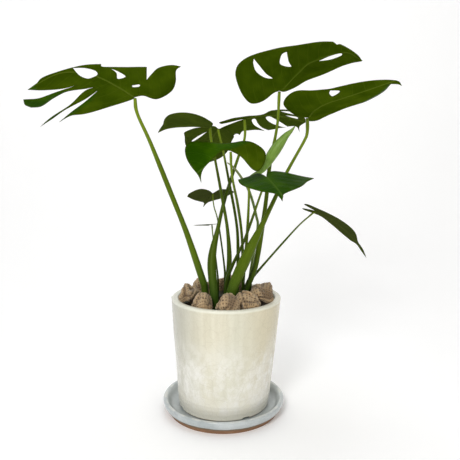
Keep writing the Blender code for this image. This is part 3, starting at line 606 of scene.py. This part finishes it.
leaf_shapes = {
    "upper_left": dict(
        pose=dict(
            at=(-125, -10, 312), heading=208, pitch=22, roll=26, droop=18, base=-20,
            fold_left=4, fold_right=-12,
        ),
        strokes=[
            [(0, 0), (2, -8), (23, -37), (48, -65), (67, -77), (79, -96)],
            [(79, -96), (70, -71), (59, -44), (50, -12)],
            [(50, -12), (61, -39), (79, -67), (91, -91), (103, -112)],
            [(103, -112), (93, -86), (76, -55), (67, -22), (57, -9)],
            [(57, -9), (69, -18), (89, -30), (101, -46), (114, -66), (128, -71)],
            [(128, -71), (138, -66), (143, -55)],
            [(143, -55), (121, -50), (99, -31), (80, -13)],
            [(80, -13), (97, -26), (119, -34), (142, -35)],
            [(142, -35), (133, -21)],
            [(133, -21), (129, -10), (114, 4), (99, 18), (84, 30), (67, 39)],
            [(67, 39), (62, 35), (38, 48), (14, 64)],
            [(14, 64), (3, 42)],
            [(3, 42), (3, 56), (1, 72), (-10, 87), (-22, 92)],
            [(-22, 92), (-21, 81), (-32, 61), (-37, 39), (-28, 14), (-9, 10), (0, 0)],
        ],
        holes=[
            [(97, 18), (83, 23), (69, 23), (63, 17), (66, 9), (72, 3), (84, 6)],
            [(52, 36), (42, 31), (36, 21), (29, 31), (40, 35)],
            [(14, 19), (7, 27), (5, 23), (11, 17)],
        ],
    ),
    "upper_right": dict(
        pose=dict(
            at=(84, 38, 325), heading=-28, pitch=38, roll=-4, droop=34, base=6,
            fold_left=6, fold_right=32,
        ),
        strokes=[
            [(0, 0), (-8, -5), (-25, -7), (-38, -15), (-42, -27), (-35, -51), (-18, -78)]
            + [(3, -83), (35, -67), (61, -54), (88, -47), (104, -42)],
            [(104, -42), (107, -36)],
            [(107, -36), (113, -35), (129, -16), (134, -1)],
            [(134, -1), (107, 19), (84, 45), (55, 58), (32, 42), (15, 38), (2, 18), (0, 0)],
        ],
        holes=[
            [(11, -73), (6, -67), (1, -54), (2, -37), (8, -27), (7, -40), (9, -57)],
            [(46, -51), (39, -51), (30, -41), (31, -33), (38, -25), (40, -35)],
            [(74, -13), (92, -17), (108, -19), (106, -14), (90, -10)],
        ],
    ),
    "right": dict(
        pose=dict(
            at=(120, -22, 283), heading=-45, pitch=16, roll=-9, droop=4, base=0,
            fold_left=12, fold_right=5,
        ),
        strokes=[
            [(0, 0), (-5, -16), (-2, -38), (8, -61), (27, -76), (47, -80), (61, -66), (77, -55)]
            + [(91, -52), (111, -47), (131, -40), (144, -31), (151, -23)],
            [(151, -23), (152, -16), (148, -4)],
            [(148, -4), (147, -11), (141, -17)],
            [(141, -17), (118, 2), (77, 28), (42, 28), (20, 33), (1, 36), (-14, 38)]
            + [(-14, 20), (0, 0)],
        ],
        holes=[[(76, -50), (84, -42), (77, -36), (67, -34), (70, -44)]],
    ),
    "back_split": dict(
        pose=dict(
            at=(33, 75, 285), heading=0, pitch=16, roll=-19, droop=43, base=-10,
            fold_left=-2, fold_right=10,
        ),
        strokes=[
            [(0, 0), (-12, -2), (-26, -2), (-38, -3)],
            [(-38, -3), (-40, -9), (-30, -11), (-17, -12), (-4, -9), (8, -6), (18, -3), (30, -4)]
            + [(40, -13), (50, -17), (64, -21), (76, -24), (88, -21), (96, -12), (98, -2)],
            [(98, -2), (93, 10), (89, 24), (90, 47)],
            [(90, 47), (86, 30), (80, 28), (69, 38)],
            [(69, 38), (56, 22), (48, 13), (40, 4), (34, 7), (35, 17), (40, 28), (48, 37), (58, 43)]
            + [(66, 43)],
            [(66, 43), (56, 50), (47, 57), (36, 63)],
            [(36, 63), (26, 48), (20, 29), (17, 10), (12, 8), (11, 16), (14, 34), (22, 51), (30, 66)],
            [(30, 66), (16, 56), (2, 51), (-5, 46)],
            [(-5, 46), (-9, 50), (-13, 60)],
            [(-13, 60), (-18, 51), (-28, 56), (-44, 38), (-42, 14), (-22, 4), (0, 0)],
        ],
        holes=[
            [(56, -14), (66, -17), (76, -18), (86, -18), (84, -14), (75, -12), (65, -12)],
            [(64, -4), (74, -2), (84, -3), (83, -8), (72, -6)],
        ],
    ),
    "left": dict(
        pose=dict(
            at=(-19, -4, 270), heading=170, pitch=11, roll=9, droop=37, base=-8,
            fold_left=9, fold_right=8,
        ),
        strokes=[
            [(0, 0), (-4, -14), (14, -26), (40, -24), (54, -13), (68, -9), (84, -23)],
            [(84, -23), (76, 0), (65, 18), (58, 35), (47, 49), (30, 55), (14, 51), (-1, 38)]
            + [(-8, 22), (0, 0)],
        ],
    ),
    "left_back": dict(
        pose=dict(
            at=(-8, 40, 269), heading=109, pitch=-20, roll=8, droop=40, base=9,
            fold_left=-12, fold_right=-14,
        ),
        strokes=[
            [(0, 0), (-10, 11), (-6, 28), (-3, 40), (10, 51), (26, 47), (50, 40), (76, 24)]
            + [(91, -4)],
            [(91, -4), (73, -24), (50, -32), (23, -30)],
            [(23, -30), (6, -28), (-4, -14), (0, 0)],
        ],
        holes=[[(11, 14), (26, 20), (40, 29), (38, 32), (24, 25)]],
    ),
    "front_left": dict(
        pose=dict(
            at=(11, -46, 237), heading=200, pitch=-25, roll=-40, droop=35, base=60,
            fold_left=0, fold_right=0,
        ),
        strokes=[
            [(0, 0), (9, -7), (29, -3), (45, 1), (54, 8), (60, 18)],
            [(60, 18), (57, 4), (57, -17), (54, -36), (46, -50), (34, -50), (18, -35)]
            + [(2, -19), (-12, -12), (-26, -9), (-37, -3), (-44, 10), (-43, 23), (-35, 35)]
            + [(-25, 45), (-12, 52), (-6, 44), (-6, 18), (0, 0)],
        ],
    ),
    "front_right": dict(
        pose=dict(
            at=(60, -58, 202), heading=-76, pitch=-14, roll=2, droop=8, base=-5,
            fold_left=0, fold_right=-2,
        ),
        strokes=[
            [(0, 0), (-10, -2), (-18, -7), (-14, -15), (-8, -24), (2, -41)],
            [(2, -41), (18, -42), (33, -37), (49, -24), (60, -8), (72, -5), (84, -5)],
            [(84, -5), (72, 0), (62, 6), (44, 34), (27, 49), (16, 63)],
            [(16, 63), (6, 52), (-6, 41), (-20, 26), (-23, 15), (-12, 4), (0, 0)],
        ],
    ),
    "small_left": dict(
        pose=dict(
            at=(-17, 45, 170), heading=107, pitch=-25, roll=-1, droop=3, base=-1,
            fold_left=4, fold_right=5,
        ),
        strokes=[
            [(0, 0), (-12, 8), (-19, 20), (-14, 29), (2, 37), (17, 37)],
            [(17, 37), (29, 25), (37, 12), (44, 4), (65, 1)],
            [(65, 1), (44, -2), (37, -9), (29, -24), (6, -38)],
            [(6, -38), (-9, -25), (-15, -8), (0, 0)],
        ],
    ),
    "tiny_left": dict(
        pose=dict(
            at=(-18, 34, 123), heading=180, pitch=-3, roll=8, droop=0, base=30,
            fold_left=0, fold_right=0,
        ),
        strokes=[
            [(0, 0), (-8, -6), (-9, -12), (4, -14), (18, -8), (30, 0)],
            [(30, 0), (18, 8), (4, 14), (-9, 12), (-8, 6), (0, 0)],
        ],
    ),
    "low_right": dict(
        pose=dict(
            at=(138, 8, 147), heading=-8, pitch=-22, roll=-22, droop=40, base=20,
            fold_left=0, fold_right=0,
        ),
        strokes=[
            [(0, 0), (-10, -5), (-20, -12), (-14, -19), (2, -17), (20, -19), (40, -25), (58, -29)]
            + [(68, -24), (78, -8), (90, -7), (104, 0)],
            [(104, 0), (92, 5), (79, 6), (68, 19), (50, 24), (30, 22), (12, 15), (2, 16), (-14, 18)]
            + [(-19, 12), (-10, 5), (0, 0)],
        ],
    ),
}

vein_pitch = 16.5  # millimetres from one side vein to the next, along the midrib


def zigzag(tree, value):
    """A half at each whole value, and falling to 0 halfway between two."""
    return sums(tree, "ABSOLUTE", sums(tree, "SUBTRACT", sums(tree, "FRACT", value), 0.5))


leaf_green, tree, out, place = blank("leaf_green")
run = flat_run(tree)
upper = marked(tree, "upper")
margin = marked(tree, "margin")
age = marked(tree, "age")
beside = sums(tree, "ABSOLUTE", run[1])
waver = times(tree, cloudy(tree, place, 18.0, 2.0), 0.14)
bend = sums(tree, "MULTIPLY_ADD", times(tree, beside, beside), -0.55, run[0])
slant = sums(tree, "ADD", sums(tree, "MULTIPLY_ADD", beside, -0.35, bend), waver)
phase = sums(tree, "DIVIDE", slant, vein_pitch / 100)
apart = zigzag(tree, phase)
side_vein = times(tree, band(tree, apart, 0.445, 0.492), band(tree, beside, 0.70, 0.25))
fine_vein = band(tree, zigzag(tree, times(tree, phase, 4.0)), 0.36, 0.49)
forward = band(tree, run[0], -0.03, 0.0)
midrib = times(tree, band(tree, beside, 0.020, 0.006), forward)
net = band(tree, grains(tree, place, 300.0, "DISTANCE_TO_EDGE")["Distance"], 0.10, 0.0)
mottle = cloudy(tree, place, 38.0, 4.0)
above = mixed(tree, band(tree, mottle, 0.35, 0.68), (0.019, 0.066, 0.0003), (0.042, 0.112, 0.0006))
above = tinted(tree, above, side_vein, 0.30, (0.034, 0.095, 0.006))
above = tinted(tree, above, fine_vein, 0.10, (0.030, 0.085, 0.004))
above = tinted(tree, above, midrib, 0.75, (0.075, 0.15, 0.014))
below = mixed(tree, band(tree, mottle, 0.32, 0.70), (0.044, 0.078, 0.0010), (0.072, 0.116, 0.003))
below = tinted(tree, below, net, 0.18, (0.060, 0.085, 0.008))
below = tinted(tree, below, side_vein, 0.26, (0.080, 0.110, 0.012))
below = tinted(tree, below, fine_vein, 0.16, (0.015, 0.026, 0.001))
below = tinted(tree, below, midrib, 0.85, (0.115, 0.160, 0.016))
body = mixed(tree, upper, below, above)
# Painted highlight: a paler line along the margin.
body = tinted(tree, body, margin, 0.55, (0.050, 0.070, 0.006))
body = tinted(tree, body, age, 0.80, (0.066, 0.072, 0.026))
veins = sums(tree, "MAXIMUM", side_vein, midrib)
relief = sums(tree, "MULTIPLY_ADD", net, 0.25, sums(tree, "MULTIPLY_ADD", fine_vein, 0.30, veins))
facing = bumped(tree, relief, 0.0004, 0.40)
glossy = sums(tree, "MULTIPLY_ADD", mottle, 0.12, 0.26)
matt = sums(tree, "MULTIPLY_ADD", mottle, 0.12, 0.46)
shiny = coat(tree, body, glossy, facing, {
    "IOR": 1.10, "Specular IOR Level": 0.40, "Specular Tint": (0.80, 1.0, 0.62, 1),
})
dull = coat(tree, body, matt, facing, {"Specular IOR Level": 0.0})
skin = node(tree, "ShaderNodeMixShader", {0: upper, 1: dull, 2: shiny}).outputs[0]
glow = mixed(tree, veins, (0.17, 0.31, 0.002), (0.27, 0.42, 0.012))
through = node(tree, "ShaderNodeBsdfTranslucent", {"Color": glow, "Normal": facing}).outputs[0]
surface = node(tree, "ShaderNodeMixShader", {0: 0.22, 1: skin, 2: through}).outputs[0]
tree.links.new(surface, out.inputs[0])


fold_round = 7.0  # millimetres over which the fold along the midrib is rounded


def laid(pose, flat):
    """Where points of the flat leaf lie once it is bent and placed, in metres."""
    heading, pitch, roll = (math.radians(pose[key]) for key in ("heading", "pitch", "roll"))
    ahead = np.array(
        (math.cos(pitch) * math.cos(heading), math.cos(pitch) * math.sin(heading), math.sin(pitch))
    )
    level = np.array((-math.sin(heading), math.cos(heading), 0))
    lift = np.cross(ahead, level)
    left = level * math.cos(roll) + lift * math.sin(roll)
    up = lift * math.cos(roll) - level * math.sin(roll)
    along, across = flat[:, 0], flat[:, 1]
    droop = np.radians(np.where(along >= 0, pose["droop"], pose["base"])) / 100
    droop = np.where(np.abs(droop) < 1e-6, 1e-6, droop)
    forward, fall = np.sin(droop * along) / droop, (np.cos(droop * along) - 1) / droop
    turned_up = np.outer(np.sin(droop * along), ahead) + np.outer(np.cos(droop * along), up)
    fold_left, fold_right = math.radians(pose["fold_left"]), math.radians(pose["fold_right"])
    fold = np.where(across >= 0, fold_left, fold_right)
    rounded = np.sqrt(across**2 + fold_round**2) - fold_round
    rise = (math.sin(fold_left) + math.sin(fold_right)) / 2 * rounded
    rise += (math.sin(fold_left) - math.sin(fold_right)) / 2 * across
    out = np.outer(across * np.cos(fold), left) + turned_up * rise[:, None]
    middle = np.outer(forward, ahead) + np.outer(fall, up)
    return (np.array(pose["at"]) + middle + out) * mm + np.array((0, 0, soil_top))


def traced(strokes, steps):
    """The closed outline of a leaf or hole from its strokes, which meet at sharp corners."""
    return np.concatenate([smooth_line([(*p, 0) for p in stroke], steps)[:-1, :2] for stroke in strokes])


def within(points, loop):
    """Whether each point is inside a closed loop."""
    x, y = points[:, 0][:, None], points[:, 1][:, None]
    ax, ay = loop[:, 0][None], loop[:, 1][None]
    bx, by = np.roll(loop[:, 0], -1)[None], np.roll(loop[:, 1], -1)[None]
    spans = (ay > y) != (by > y)
    slope = np.where(by == ay, 1e-9, by - ay)
    return (spans & (x < (bx - ax) * (y - ay) / slope + ax)).sum(1) % 2 == 1


def from_edge(points, loops):
    """Each point's distance from the nearest outline or hole."""
    best = np.full(len(points), 1e9)
    for loop in loops:
        a, b = loop[None], np.roll(loop, -1, 0)[None]
        leg = b - a
        share = ((points[:, None] - a) * leg).sum(-1) / np.maximum((leg**2).sum(-1), 1e-9)
        near = a + leg * np.clip(share, 0, 1)[..., None]
        best = np.minimum(best, np.linalg.norm(points[:, None] - near, axis=-1).min(1))
    return best


def cut_blade(outline, holes, cell, rib):
    """Flat points and triangles of a blade, with extra points along its midrib."""
    loops = [outline, *holes]
    low, high = outline.min(0), outline.max(0)
    rows, columns = np.mgrid[low[0] : high[0] : cell, low[1] : high[1] : cell * 0.87]
    rows[:, ::2] += cell / 2
    spots = np.stack([rows.ravel(), columns.ravel()], -1)
    spots = spots[(np.abs(spots[:, 1] - rib(spots[:, 0])) > 3.0) | (spots[:, 0] < 0)]
    length = np.arange(0, high[0], cell * 0.8)
    ribs = [np.stack([length, rib(length) + v], -1) for v in (-2.2, -1.1, 0, 1.1, 2.2)]
    spots = np.concatenate([spots, *ribs])
    spots = spots[within(spots, outline)]
    for hole in holes:
        spots = spots[~within(spots, hole)]
    spots = spots[from_edge(spots, loops) > 0.45 * cell]
    edges, first = [], 0
    for loop in loops:
        edges += [(first + k, first + (k + 1) % len(loop)) for k in range(len(loop))]
        first += len(loop)
    flat = np.concatenate([*loops, spots])
    found, _, faces, _, _, _ = delaunay_2d_cdt([Vector(p) for p in flat], edges, [], 0, 1e-4)
    found, faces = np.array([tuple(p) for p in found]), np.array(faces)
    middle = found[faces].mean(1)
    keep = within(middle, outline)
    for hole in holes:
        keep &= ~within(middle, hole)
    faces = faces[keep]
    used = np.unique(faces)
    place = np.zeros(len(found), int)
    place[used] = np.arange(len(used))
    return found[used], place[faces], loops


# How the midribs that are not straight run, from the stalk to the tip.
leaf_rib = {
    "upper_left": [(0, 0), (32, 7), (55, 12), (82, 13), (110, 3), (141, -33)],
    "upper_right": [
        (0, 0), (11, 1), (31, -5), (44, -9), (58, -15), (78, -17), (105, -20), (120, -18), (134, -1),
    ],
    "right": [(0, 0), (21, -14), (46, -21), (76, -20), (107, -20), (136, -22), (151, -23)],
}

# Where a lobe curls over on the real leaf: the mesh is not curled there, so its two skins swap colours.
leaf_turned = {
    "upper_left": [
        [(84, -27), (98, -30), (120, -46), (150, -52), (146, -76), (112, -72), (98, -46), (86, -31)],
        [(82, -80), (86, -66), (96, -84), (110, -112), (103, -120), (94, -104)],
        [(132, -19), (134, -26), (128, -38), (150, -40), (148, -20)],
        [(50, -8), (60, -42), (72, -70), (84, -98), (74, -92), (61, -62), (51, -36)],
    ],
    "right": [
        [(60, 34), (77, 32), (100, 19), (122, 3), (143, -13), (139, -18), (118, -2), (98, 11), (76, 23)]
        + [(62, 26)],
    ],
    "front_left": [
        [(12, -9), (7, -6), (0, -3), (-12, -1), (-25, -2), (-39, -3), (-60, -3), (-60, 60), (5, 60), (4, 10)],
    ],
}


def blade(name, shape, cell=3.2, age=0.0):
    """One leaf: two skins, quilted between its veins, thin at the margin, ribbed underneath."""
    outline = traced(shape["strokes"], 6)
    holes = [traced([[*hole, hole[0]]], 6) for hole in shape.get("holes", ())]
    path = smooth_line([(*p, 0) for p in leaf_rib.get(name, [(0, 0), (100, 0)])], 6)

    def rib_at(along):
        """How far the midrib lies to the left of the straight line, at distances along the leaf."""
        return np.interp(along, path[:, 0], path[:, 1])

    flat, faces, loops = cut_blade(outline, holes, cell, rib_at)
    pose = shape["pose"]
    here = laid(pose, flat)
    normal = np.cross(laid(pose, flat + (0.5, 0)) - here, laid(pose, flat + (0, 0.5)) - here)
    normal /= np.linalg.norm(normal, axis=1)[:, None]
    along, across = flat[:, 0], flat[:, 1]
    inset = from_edge(flat, loops)
    rim = np.clip(inset / 3.0, 0, 1)
    size = max(np.ptp(along), np.ptp(across))
    off = np.abs(across - rib_at(along))
    phase = (along - 0.35 * off - 0.0055 * off**2 + 2.5) / vein_pitch
    quilt = -np.cos(2 * math.pi * phase) * np.clip(off / 14, 0, 1) * np.clip(inset / 9, 0, 1)
    wave = np.array([noise.noise(Vector((a * 0.03, b * 0.03, size))) for a, b in flat])
    lift = (0.17 * quilt + 0.9 * wave * np.clip(off / 30, 0, 1)) * mm
    stem = np.clip(along / 6, 0, 1) * np.clip(1 - along / (size * 0.95), 0.12, 1)
    dip = 0.35 * np.exp(-((off / 1.6) ** 2)) * stem * mm
    thick = 1.15 * (1 + np.exp(-along / 12)) * np.clip(inset / 4, 0, 1)
    wide = 1.25 + 0.9 * np.exp(-np.clip(along, 0, None) / 14)
    rib = thick * np.exp(-((off / wide) ** 2)) * stem * mm
    half = (0.16 + 0.26 * rim) * mm
    top = here + normal * (lift + half - dip)[:, None]
    bottom = here + normal * (lift - half - rib)[:, None]
    count = len(flat)
    edges = dict.fromkeys((a, b) for face in faces.tolist() for a, b in zip(face, face[1:] + face[:1]))
    rims = [(b, a, a + count, b + count) for a, b in edges if (b, a) not in edges]
    triangles = [*faces.tolist(), *(faces[:, ::-1] + count).tolist(), *rims]
    # Marks the margin for its painted highlight.
    margin = np.exp(-((inset / 0.8) ** 2))
    turned = np.zeros(count)
    for loop in leaf_turned.get(name, ()):
        loop = np.array(loop, float)
        depth = from_edge(flat, [loop]) * np.where(within(flat, loop), 1, -1)
        turned = np.maximum(turned, np.clip(depth / 2.4 + 0.5, 0, 1))
    return new_piece(
        f"blade_{name}", np.concatenate([top, bottom]), triangles, leaf_green, "leaf_green", f"leaf_{name}",
        uv=np.tile(np.stack([along, across - rib_at(along)], -1) / 100, (2, 1)),
        upper=[*(1 - turned), *turned], margin=np.tile(margin, 2), age=[age] * (2 * count),
    )


leaf_age = {
    "small_left": 0.95, "left_back": 0.4, "low_right": 0.9, "tiny_left": 0.7, "left": 0.45,
    "back_split": 0.3,
}
for name, shape in leaf_shapes.items():
    blade(name, shape, age=leaf_age.get(name, 0.0))

# ---------------------------------------------------------------- New leaf and old sheath
# The next leaf is still rolled into a pale spindle, one edge lapped over the other.  Beside it
# stands the papery sheath that it came out of, drying at the tip.

rolled_route = [
    (38, -4, 193, 2.2), (42, -5, 199, 3.4), (57, -6, 209, 4.2), (66, -7, 223, 7.0),
    (78, -8, 241, 7.6), (90, -9, 257, 4.6), (98, -10, 265, 2.4), (103, -10, 271, 0.7),
]
sheath_route = [
    (40, 34, 0, 2.2), (41, 30, 40, 2.1), (52, 24, 115, 2.0), (50, 22, 138, 2.0),
    (40, 16, 173, 2.0), (28, 13, 195, 1.9), (16, 11, 211, 1.6), (6, 10, 219, 0.8),
]

new_green, tree, out, place = blank("new_leaf_green")
run = flat_run(tree)
share = marked(tree, "share")
hollow = marked(tree, "hollow")
lines = zigzag(tree, sums(tree, "MULTIPLY_ADD", run[0], 14.0, times(tree, run[1], 3.0)))
fibre = cloudy(tree, place, 130.0, 3.0)
body = mixed(tree, fibre, (0.13, 0.24, 0.030), (0.24, 0.37, 0.072))
body = tinted(tree, body, band(tree, lines, 0.36, 0.5), 0.30, (0.28, 0.42, 0.14))
body = tinted(tree, body, band(tree, share, 0.80, 0.98), 0.5, (0.20, 0.28, 0.05))
# Painted shade in the crease under the lapped edge.
body = tinted(tree, body, hollow, 0.75, (0.035, 0.09, 0.012))
facing = bumped(tree, lines, 0.0003, 0.4)
surface = coat(tree, body, 0.34, facing, {
    "Specular IOR Level": 0.15, "Subsurface Weight": 0.2,
    "Subsurface Radius": (0.002, 0.004, 0.001), "Subsurface Scale": 1.0,
})
tree.links.new(surface, out.inputs[0])


def lapped(angle, share, along):
    """A rolled blade: its free edge stands proud of the turn beneath and winds as it goes up."""
    seam = (angle - 2.2 - 1.1 * share) % (2 * math.pi)
    step = 0.20 * seam / (2 * math.pi) - 0.10
    crease = math.exp(-((seam / 0.16) ** 2)) + math.exp(-(((2 * math.pi - seam) / 0.05) ** 2)) * 0.2
    # The crease also carries painted shade.
    return 1 + step - 0.10 * crease, min(1, crease)


points, faces, uv, share, hollow = swept(rolled_route, 44, 10, lapped)
new_piece(
    "rolled_leaf", points, faces, new_green, "new_leaf_green", "leaf_unfurling",
    uv=uv, share=share, hollow=hollow,
)

pale_sheath, tree, out, place = blank("pale_sheath")
share = marked(tree, "share")
hollow = marked(tree, "hollow")
fibre = cloudy(tree, place, 240.0, 3.0, (1, 1, 0.12))
body = mixed(tree, fibre, (0.085, 0.15, 0.012), (0.22, 0.31, 0.05))
body = mixed(tree, band(tree, share, 0.72, 0.97), body, (0.32, 0.34, 0.13))
# Painted shade in the open groove.
body = tinted(tree, body, hollow, 0.7, (0.06, 0.11, 0.020))
facing = bumped(tree, fibre, 0.0004, 0.5)
surface = coat(tree, body, 0.45, facing)
tree.links.new(surface, out.inputs[0])


def channelled(angle, share, along):
    """The old sheath: open down one side, with both of its edges turned out."""
    away = abs(math.remainder(angle - 4.4, 2 * math.pi))
    groove = 0.5 * math.exp(-((away / 0.45) ** 2)) * min(1, 3 * share)
    # The groove also carries painted shade.
    return 1 - groove + 0.12 * math.exp(-(((away - 0.8) / 0.2) ** 2)), min(1, 2 * groove)


points, faces, uv, share, hollow = swept(sheath_route, 24, 8, channelled)
new_piece(
    "dry_sheath", points, faces, pale_sheath, "pale_sheath", "sheath_tip", uv=uv, share=share, hollow=hollow
)

# ---------------------------------------------------------------- Sacking
# Torn squares of loose-woven jute, crumpled by hand and pushed into the mouth of the pot to hide
# the soil.  Each is one woven sheet, with three and a half millimetres from thread to thread.

thread_pitch = 0.0034
steps_to_thread = 6  # points of the mesh from thread to thread
thread_half = 0.31  # half of a thread's width, in pitches
thread_rise = 0.00095  # how far a thread stands up where it crosses over another
# How wide each square was cut, in the order in which they were pushed in.
sheet_side = {
    "left": 0.068, "back_left": 0.060, "back": 0.058, "front_left": 0.043, "front": 0.044,
    "front_right": 0.044, "right": 0.055,
}

burlap, tree, out, place = blank("burlap")
run = node(tree, "ShaderNodeUVMap", uv_map="flat").outputs[0]
gap = marked(tree, "gap")
weft = marked(tree, "weft")
deep = marked(tree, "deep")
warp_hair = cloudy(tree, run, 2.2, 4.0, (0.5, 7, 1))
weft_hair = cloudy(tree, run, 2.2, 4.0, (7, 0.5, 1))
warp_only = times(tree, warp_hair, sums(tree, "SUBTRACT", 1.0, weft))
hair = sums(tree, "ADD", times(tree, weft_hair, weft), warp_only)
fibre_shade = cloudy(tree, place, 55.0, 3.0)
body = mixed(tree, band(tree, hair, 0.30, 0.72), (0.32, 0.215, 0.115), (0.66, 0.49, 0.29))
duller = mixed(tree, hair, (0.36, 0.225, 0.11), (0.58, 0.40, 0.21))
body = mixed(tree, band(tree, fibre_shade, 0.40, 0.70), body, duller)
# Painted shade in the valleys between the knuckles.
body = tinted(tree, body, deep, 0.65, (0.060, 0.036, 0.020))
# The gaps between threads are painted dark, for the soil and the shade seen through them.
body = tinted(tree, body, gap, 0.88, (0.060, 0.034, 0.016))
fuzz = cloudy(tree, place, 2200.0, 2.0)
relief = sums(tree, "MULTIPLY_ADD", fuzz, 0.5, hair)
facing = bumped(tree, relief, 0.0005, 0.6)
surface = coat(tree, body, 0.92, facing, {"Sheen Weight": 0.25, "Sheen Roughness": 0.5})
tree.links.new(surface, out.inputs[0])


knuckles, flats, creases = 8, 11, 26  # in each crumpled square
wrapped_to = math.radians(118)  # how far down round the lump the sheet's edge comes


def directions(dice, count):
    """So many directions, one unit long, drawn at random."""
    drawn = dice.normal(size=(count, 3))
    return drawn / np.linalg.norm(drawn, axis=1)[:, None]


def between(way, points, width):
    """1 where the two nearest of the points are equally near, and 0 close to any one of them."""
    near = np.sort(np.linalg.norm(way[:, :, None] - points, axis=-1), axis=-1)
    return np.exp(-(((near[..., 1] - near[..., 0]) / width) ** 2))


def crumpled(name, side, seed):
    """A sheet bunched into a lump: folds fall between knuckles that are spread over the lump."""
    low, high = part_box(f"burlap_{name}")
    centre, half = np.array((low + high) / 2), np.array((high - low) / 2)
    count = int(side / (thread_pitch / steps_to_thread))
    s, t, x, y = round_grid(count)
    tilt, turn = np.hypot(x, y) * wrapped_to, np.arctan2(y, x)
    way = np.stack([np.sin(tilt) * np.cos(turn), np.sin(tilt) * np.sin(turn), np.cos(tilt)], -1)
    dice = np.random.default_rng(seed)
    bends = dice.normal(size=(3, 3))
    warped = way + 0.22 * np.sin(way @ bends * 2.1 + seed)
    valley = between(warped, directions(dice, knuckles), 0.16)
    facing = np.clip(warped @ directions(dice, flats).T, 0.05, None) / dice.uniform(0.66, 0.92, flats)
    facet = 1 / ((facing**7).sum(-1) + 1.0) ** (1 / 7)
    crease = between(warped, directions(dice, creases), 0.10)
    reach = facet * (1.0 - 0.15 * valley - 0.05 * crease)
    spot = centre + way * half * reach[..., None] * 1.04
    for axis in (0, 1):
        reached = np.abs(spot[..., axis] - centre[axis]).max()
        spot[..., axis] = centre[axis] + (spot[..., axis] - centre[axis]) * (half[axis] + 0.0015) / reached
    spot[..., 2] += high.z - 0.001 - spot[..., 2].max()
    spot[..., 2] = np.maximum(spot[..., 2], low.z + 0.0012 + 0.0008 * np.hypot(s, t))
    down, over = np.gradient(spot, axis=0), np.gradient(spot, axis=1)
    normal = np.cross(down, over)
    normal /= np.maximum(np.linalg.norm(normal, axis=-1), 1e-9)[..., None]
    u, v = (s + 1) * side / 2 / thread_pitch, (t + 1) * side / 2 / thread_pitch
    u = u + 0.10 * np.sin(v * 0.9 + seed)
    v = v + 0.10 * np.sin(u * 0.8 + 2 * seed)
    row, column = np.floor(u), np.floor(v)
    round_u = np.sqrt(np.clip(1 - ((u - row - 0.5) / thread_half) ** 2, 0, 1))
    round_v = np.sqrt(np.clip(1 - ((v - column - 0.5) / thread_half) ** 2, 0, 1))
    over_u = round_u * (0.55 + 0.45 * np.sin(math.pi * v) * np.where(row % 2, 1, -1))
    over_v = round_v * (0.55 - 0.45 * np.sin(math.pi * u) * np.where(column % 2, 1, -1))
    thread = np.maximum(over_u, over_v)
    spot = spot + normal * (thread * thread_rise)[..., None]
    under = spot - normal * (0.0007 + 0.0006 * thread)[..., None]
    # The gaps between threads get dark paint for the soil and shade seen through them.
    gap = np.clip(1 - np.maximum(round_u, round_v) / 0.45, 0, 1)
    # Painted shade in the valleys of the folds.
    deep = np.clip(valley * 1.1, 0, 1)
    points = np.concatenate([spot.reshape(-1, 3), under.reshape(-1, 3)])
    weft = (over_v > over_u).astype(float)
    piece = new_piece(
        f"sacking_{name}", points, two_skins(count), burlap, "burlap", f"burlap_{name}",
        uv=np.tile(np.stack([u, v], -1).reshape(-1, 2), (2, 1)), gap=np.tile(gap.ravel(), 2),
        weft=np.tile(weft.ravel(), 2), deep=np.tile(deep.ravel(), 2),
    )


for seed, (name, side) in enumerate(sheet_side.items()):
    crumpled(name, side, seed + 3)

# ---------------------------------------------------------------- Floor, light and camera
# A white paper sweep that glows faintly though it is no lamp, a big soft lamp to the left and front, and
# weaker light from everywhere.

turns = [math.radians(3 * k) for k in range(31)]
sweep_bend = 0.55
sweep = [(-2.5, 0.0)]
sweep += [(0.30 + sweep_bend * math.sin(a), sweep_bend - sweep_bend * math.cos(a)) for a in turns]
sweep += [(0.85, 2.6)]
points = [(x, y, z) for y, z in sweep for x in (-3.0, 3.0)]
faces = [(2 * k, 2 * k + 1, 2 * k + 3, 2 * k + 2) for k in range(len(sweep) - 1)]
paper, tree, out, place = blank("white_paper")
fibre = mixed(tree, cloudy(tree, place, 3.0, 2.0), (0.93, 0.93, 0.93), (0.95, 0.95, 0.95))
glow = {"Specular IOR Level": 0.0, "Emission Color": (1, 1, 1, 1), "Emission Strength": 0.12}
matt = {"Base Color": fibre, "Roughness": 0.9, **glow}
surface = node(tree, "ShaderNodeBsdfPrincipled", matt).outputs[0]
tree.links.new(surface, out.inputs[0])
data = bpy.data.meshes.new("paper_sweep")
data.from_pydata(points, [], faces)
data.materials.append(paper)
data.shade_smooth()
placed("paper_sweep", data)


def lamp(name, place, aim, size, power, colour=(1, 1, 1)):
    light = bpy.data.lights.new(name, "AREA")
    light.shape = "DISK"
    light.size = size
    light.energy = power
    light.color = colour
    made = placed(name, light)
    made.location = place
    made.rotation_euler = (Vector(aim) - Vector(place)).to_track_quat("-Z", "Y").to_euler()


lamp("key_lamp", (-0.55, -1.6, 1.35), (0, 0, 0.25), 0.6, 19)
lamp("fill_lamp", (0.9, -1.6, 0.8), (0, 0, 0.2), 1.0, 4, (1.0, 0.95, 0.87))
lamp("top_lamp", (0.1, 0.1, 1.9), (0, 0, 0.3), 1.0, 7)

world = bpy.data.worlds.new("studio")
world.use_nodes = True
world.node_tree.nodes["Background"].inputs[0].default_value = (1, 1, 1, 1)
world.node_tree.nodes["Background"].inputs[1].default_value = 0.36
bpy.context.scene.world = world
bpy.context.scene.view_settings.view_transform = "Standard"

camera = bpy.data.cameras.new("camera")
camera.lens = 43.83
camera.sensor_width = 36
camera.dof.use_dof = False
viewer = placed("camera", camera)
viewer.location = (0.010, -0.825, 0.4116)
viewer.rotation_euler = (math.radians(80.97), 0, 0)
bpy.context.scene.camera = viewer
